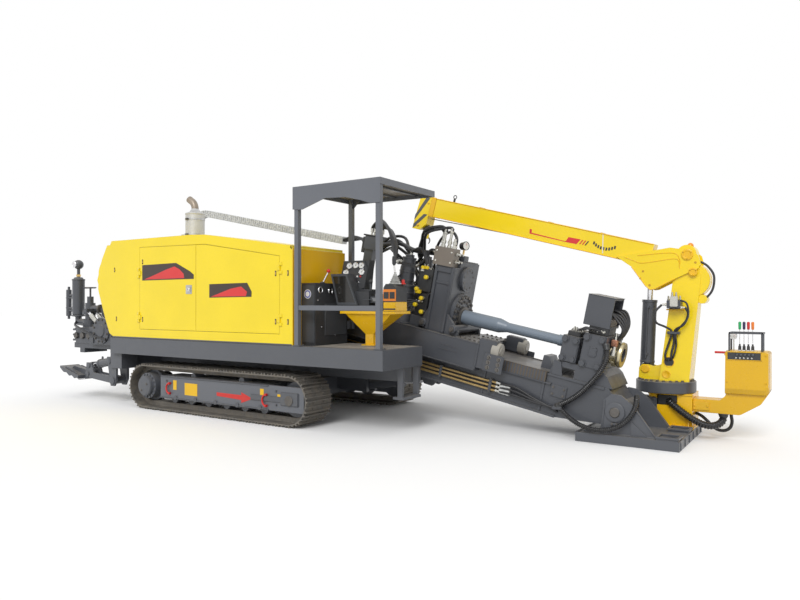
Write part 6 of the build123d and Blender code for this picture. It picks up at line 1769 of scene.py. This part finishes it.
def dress_free_hoses():
    """Build the four free hoses and their ends."""
    free_hose("vise_hose", "mast", VISE_HOSE, 0.052, 0.12, 0.02)
    free_hose("anchor_hose", "mast", ANCHOR_HOSE, 0.048, 0.12, 0.02)
    free_hose("console_hose", "anchor", CONSOLE_HOSE, 0.072, 0.09, 0.026)
    free_hose("console_loop_hose", "anchor", LOOP_HOSE, 0.034)
    ends = Form("mast")
    for points, radius in ((VISE_HOSE, 0.026), (ANCHOR_HOSE, 0.024)):
        for first, second in ((points[0], points[1]), (points[-1], points[-2])):
            aim = (Vector(second) - Vector(first)).normalized()
            ends.lathe(Vector(first) - aim * 0.02, aim, [(0, radius), (0.004, radius * 1.4),
                (0.03, radius * 1.4), (0.034, radius * 1.22), (0.07, radius * 1.22), (0.072, radius)], 20,
                "engine")
    ends.box((2.985, 3.09), (-0.125, -0.03), (0.3, 0.334), 0.006)
    ends.box((2.985, 3.09), (-0.05, -0.03), (0.3, 0.39), 0.004)
    ends.make("free_hose_ends", "mast")
    gland = Form("frame")
    x, y = ANCHOR_HOSE[-1][:2]
    gland.lathe((x, y, 0.089), UP, [(0, 0.045), (0.014, 0.045), (0.016, 0.034), (0.036, 0.034),
        (0.04, 0.028)], 28)
    gland.make("hose_gland", "anchor")


class DRILL_OT_free_hoses(bpy.types.Operator):
    """Free hoses between the vise, the mast's side, the anchor and the console, with their ends"""

    bl_idname = "drill.free_hoses"
    bl_label = "Free hoses"

    def execute(self, context):
        dress_free_hoses()
        return {"FINISHED"}


def dress_pump():
    """Dress the mud pump."""
    y = PUMP_Y
    pump = Form("mast")
    ball = Vector((-4.65, y, 2.03))
    pump.lathe(ball + NEAR * 0.068, NEAR, [(0, 0.05), (0.012, 0.052), (0.016, 0.048), (0.012, 0.044)], 32,
        "chrome")
    pump.lathe(ball + NEAR * 0.068, NEAR, [(0, 0.044), (0.01, 0.044), (0.0102, 0)], 32, "dial")
    pump.rod(ball + NEAR * 0.0785, ball + NEAR * 0.079 + UP * 0.026, 0.002, 6, "red")
    for height in (1.205, 1.775):
        pump.lathe((-4.65, y, height), UP, [(0, 0.094), (0.004, 0.098), (0.02, 0.098), (0.024, 0.094)], 36)
    pump.lathe((-4.65, y, 1.84), UP, [(0, 0.034), (0.03, 0.034), (0.034, 0.028)], 6, "brass")
    for z in (1.29, 1.16):
        bolt_circle("chassis", (-4.33, y, z), UP, 0.1, 8, 0.7)
    for k in range(4):
        a = tau * k / 4
        pump.rod((-4.33, y, 1.66), (-4.33 + 0.08 * cos(a), y + 0.08 * sin(a), 1.66), 0.006, 8, "dark_steel")
    pump.hoop((-4.33, y, 1.66), UP, 0.08, 0.009, 32, "dark_steel")
    pump.lathe((-4.06, y, 1.33), FRONT, stud(0.066, 0.02, 0.05, 0.022, 0.03, -0.02), 28, "dark_steel")
    for height in (1.34, 1.5):
        pump.box((-4.96, -4.74), (y - 0.03, y + 0.03), (height - 0.012, height + 0.012), 0.004)
    pump.lathe((-4.918, y, 1.21), UP, [(-0.05, 0.02), (-0.004, 0.02), (0, 0.041), (0.42, 0.041),
        (0.424, 0.02), (0.47, 0.018), (0.472, 0)], 28)
    for z in (0.83, 0.91, 0.99):
        for dy in (-0.12, -0.04, 0.04, 0.12):
            bolt("chassis", (-4.53, y + dy, z + 0.03), UP, 0.8)
    for k in range(3):
        dy = -0.13 + 0.13 * k
        pump.rod((-4.2, y + dy, 1.3), (-3.75, y + dy, 0.98), 0.022, 16, "chrome")
        pump.rod((-4.1, y + dy, 1.23), (-3.95, y + dy, 1.12), 0.035, 16, "nickel")
        pump.rod((-3.8, y + dy, 1.015), (-3.72, y + dy, 0.96), 0.04, 16)
    pump.box((-4.24, -4.14), (y - 0.18, y + 0.18), (1.27, 1.33), 0.01)
    pump.rod((-4.33, y, 1.3), (-4.2, y, 1.3), 0.04, 16)
    for side in (-1, 1):
        face = y + side * 0.26
        out = FAR * side
        pump.lathe((-3.64, face, 1.01), out, [(-0.004, 0.196), (0.016, 0.196), (0.02, 0.19), (0.02, 0.1),
            (0.034, 0.09), (0.034, 0)], 48)
        bolt_circle("chassis", (-3.64, face + side * 0.02, 1.01), out, 0.165, 12, 0.8)
        for x in (-3.9, -3.75):
            pump.box((x, x + 0.07), (face, face + side * 0.014), (0.82, 0.9), 0.004)
    for x in (-4.36, -4.2, -4.04):
        pump.lathe((x, y - 0.2, 0.92), NEAR, disc(0.05, 0.03, 0.044, 0.035), 6, "dark_steel")
        pump.lathe((x, y, 1.04), UP, disc(0.05, 0.04, 0.044, 0.045), 6, "dark_steel")
    pump.make("pump_fittings", "chassis")
    runs = [([(-4.08, y, 1.33), (-3.98, y - 0.02, 1.32), (-3.86, y - 0.06, 1.22), (-3.66, y - 0.05, 1.23),
        (-3.45, y - 0.04, 1.12)], 0.03), ([(-4.65, y - 0.02, 1.14), (-4.55, y - 0.12, 1.08),
        (-4.3, y - 0.23, 1.05), (-3.9, y - 0.29, 0.96), (-3.5, y - 0.28, 0.88)], 0.018),
        ([(-4.1, y + 0.12, 1.28), (-3.9, y + 0.18, 1.26), (-3.7, y + 0.16, 1.24), (-3.46, y + 0.12, 1.1)],
        0.022)]
    make_hoses("pump_hoses", "chassis", runs)


class DRILL_OT_pump(bpy.types.Operator):
    """Flanges, gauge, hand wheel, rods and bolts of the mud pump"""

    bl_idname = "drill.mud_pump"
    bl_label = "Mud pump"

    def execute(self, context):
        dress_pump()
        return {"FINISHED"}


def dress_outriggers():
    """Dress both outriggers."""
    for name, side in TRACKS:
        middle = side * OUTRIGGER_Y
        brackets = Form("frame")
        for x, z, r in ((-3.148, 0.314, 0.055), (-3.225, 0.59, 0.042)):
            for out in (-1, 1):
                brackets.lathe((x, middle + out * 0.105, z), FAR * out,
                    disc(r, 0.012, r * 0.9, 0.015, -0.002), 28)
                bolt("chassis", (x + r * 1.25, middle + out * 0.106, z + 0.02), FAR * out, 0.45, "frame")
        brackets.make(f"outrigger_pins_{name}", "chassis")
        arm = Form("frame")
        for out in (-1, 1):
            y = middle + out * 0.075
            for x, z, r in ((-3.8, 0.372, 0.044), (-3.765, 0.5, 0.036)):
                arm.lathe((x, y, z), FAR * out, disc(r, 0.01, r * 0.88, 0.013, -0.002), 24)
        arm.make(f"arm_pins_{name}", f"outrigger_arm_{name}")
        base, eye = Vector((-3.225, middle, 0.59)), Vector((-3.765, middle, 0.5))
        axis = (eye - base).normalized()
        gland = Form("frame")
        gland.lathe(base + axis * 0.34, axis, [(0, 0.062), (0.003, 0.066), (0.036, 0.066), (0.04, 0.06),
            (0.04, 0.031)], 32)
        gland.lathe(base + axis * 0.075, axis, [(0, 0.061), (0.003, 0.064), (0.02, 0.064), (0.023, 0.061)],
            32)
        for far in (0.1, 0.32):
            spot = base + axis * far + UP * 0.055
            gland.lathe(spot, UP, stud(0.016, 0.03, 0.012, 0.032, 0.045), 8)
        gland.make(f"outrigger_gland_{name}", f"outrigger_barrel_{name}")
        foot = Form("frame")
        for dy in (-0.12, 0.12):
            foot.plate([(-4.3, middle + dy - 0.008, 0.45), (-3.95, middle + dy - 0.008, 0.356),
                (-4.1, middle + dy - 0.008, 0.43), (-4.25, middle + dy - 0.008, 0.465)], FAR * 0.016)
        foot.make(f"outrigger_foot_ribs_{name}", f"outrigger_foot_{name}")


class DRILL_OT_outriggers(bpy.types.Operator):
    """Pin heads, glands and foot ribs of the outriggers"""

    bl_idname = "drill.outriggers"
    bl_label = "Outriggers"

    def execute(self, context):
        dress_outriggers()
        return {"FINISHED"}


class DRILL_OT_fasteners(bpy.types.Operator):
    """Make every noted bolt head, one piece for each body and finish"""

    bl_idname = "drill.fasteners"
    bl_label = "Fasteners"

    def execute(self, context):
        for body, finish in sorted(BOLTS):
            make_bolts(f"bolts_{body}_{finish}", body, finish)
        return {"FINISHED"}


class DRILL_OT_stage(bpy.types.Operator):
    """Build the pale floor, the soft light and the camera"""

    bl_idname = "drill.stage"
    bl_label = "Stage"

    def execute(self, context):
        studio = context.scene.drill_studio
        scene = context.scene
        scene.view_settings.view_transform = "Standard"
        floor_mesh = bpy.data.meshes.new("floor")
        floor_mesh.from_pydata([(-60, -60, -0.001), (60, -60, -0.001), (60, 60, -0.001), (-60, 60, -0.001)],
            [], [(0, 1, 2, 3)])
        floor = bpy.data.objects.new("floor", floor_mesh)
        scene.collection.objects.link(floor)
        pale = bpy.data.materials.new("pale_floor")
        pale.use_nodes = True
        tree = pale.node_tree
        tree.nodes.clear()
        ray = node(tree, "ShaderNodeLightPath")
        seen = sums(tree, "MAXIMUM", ray.outputs["Is Camera Ray"],
            sums(tree, "MAXIMUM", ray.outputs["Is Glossy Ray"], ray.outputs["Is Transmission Ray"]))
        diffuse = node(tree, "ShaderNodeBsdfDiffuse")
        tree.links.new(mix(tree, seen, studio.floor, (1.0, 1.0, 1.0)), diffuse.inputs["Color"])
        out = node(tree, "ShaderNodeOutputMaterial")
        tree.links.new(diffuse.outputs["BSDF"], out.inputs["Surface"])
        floor_mesh.materials.append(pale)

        world = bpy.data.worlds.new("studio")
        scene.world = world
        world.use_nodes = True
        tree = world.node_tree
        tree.nodes.clear()
        ray = node(tree, "ShaderNodeLightPath")
        seen = sums(tree, "MAXIMUM", ray.outputs["Is Camera Ray"],
            sums(tree, "MAXIMUM", ray.outputs["Is Glossy Ray"], ray.outputs["Is Transmission Ray"]))
        strength = ramp(tree, seen, 0.0, 1.0, studio.sky, 1.0)
        sky = node(tree, "ShaderNodeBackground", inputs={"Color": (1, 1, 1, 1), "Strength": strength})
        out = node(tree, "ShaderNodeOutputWorld")
        tree.links.new(sky.outputs["Background"], out.inputs["Surface"])

        sun_data = bpy.data.lights.new("soft_sun", "SUN")
        sun_data.energy = studio.key
        sun_data.angle = radians(28)
        sun = bpy.data.objects.new("soft_sun", sun_data)
        sun.rotation_mode = "QUATERNION"
        sun.rotation_quaternion = Vector((-0.2, 0.72, -0.6)).to_track_quat("-Z", "Y")
        scene.collection.objects.link(sun)

        camera_data = bpy.data.cameras.new("camera")
        camera_data.lens = studio.lens
        camera_data.sensor_width = 36.0
        camera_data.shift_y = 1 / 800
        camera_data.clip_end = 200.0
        camera = bpy.data.objects.new("camera", camera_data)
        camera.location = (5.565, -7.047, 1.45)
        camera.rotation_mode = "QUATERNION"
        camera.rotation_quaternion = Vector((-0.5436, 0.8368, 0.0)).to_track_quat("-Z", "Y")
        scene.collection.objects.link(camera)
        bpy.context.scene.camera = camera
        return {"FINISHED"}


OPERATORS = [
    DRILL_OT_finishes, DRILL_OT_tracks, DRILL_OT_hood, DRILL_OT_silencer, DRILL_OT_operator_place,
    DRILL_OT_gearbox, DRILL_OT_mast, DRILL_OT_vise, DRILL_OT_anchor, DRILL_OT_crane, DRILL_OT_console,
    DRILL_OT_free_hoses, DRILL_OT_pump, DRILL_OT_outriggers, DRILL_OT_fasteners, DRILL_OT_stage,
]


class DRILL_PT_dressing(bpy.types.Panel):
    """Lists the dressing steps and their settings"""

    bl_idname = "DRILL_PT_dressing"
    bl_label = "Drill dressing"
    bl_space_type = "VIEW_3D"
    bl_region_type = "UI"
    bl_category = "Drill"

    def draw(self, context):
        for group in (context.scene.drill_paints, context.scene.drill_fittings, context.scene.drill_studio):
            for name in group.__annotations__:
                self.layout.prop(group, name)
        for operator in OPERATORS:
            self.layout.operator(operator.bl_idname)


CLASSES = [DrillPaints, DrillFittings, StudioSettings, *OPERATORS, DRILL_PT_dressing]


def register():
    for kind in CLASSES:
        bpy.utils.register_class(kind)
    bpy.types.Scene.drill_paints = bpy.props.PointerProperty(type=DrillPaints)
    bpy.types.Scene.drill_fittings = bpy.props.PointerProperty(type=DrillFittings)
    bpy.types.Scene.drill_studio = bpy.props.PointerProperty(type=StudioSettings)


def unregister():
    for name in ("drill_paints", "drill_fittings", "drill_studio"):
        delattr(bpy.types.Scene, name)
    for kind in reversed(CLASSES):
        bpy.utils.unregister_class(kind)


def main():
    register()
    bpy.ops.drill.finishes()
    bpy.ops.drill.tracks()
    bpy.ops.drill.hood()
    bpy.ops.drill.silencer()
    bpy.ops.drill.operator_place()
    bpy.ops.drill.gearbox()
    bpy.ops.drill.mast()
    bpy.ops.drill.vise()
    bpy.ops.drill.anchor()
    bpy.ops.drill.crane()
    bpy.ops.drill.crane_controls()
    bpy.ops.drill.free_hoses()
    bpy.ops.drill.mud_pump()
    bpy.ops.drill.outriggers()
    bpy.ops.drill.fasteners()
    bpy.ops.drill.stage()


if __name__ == "__main__":
    main()
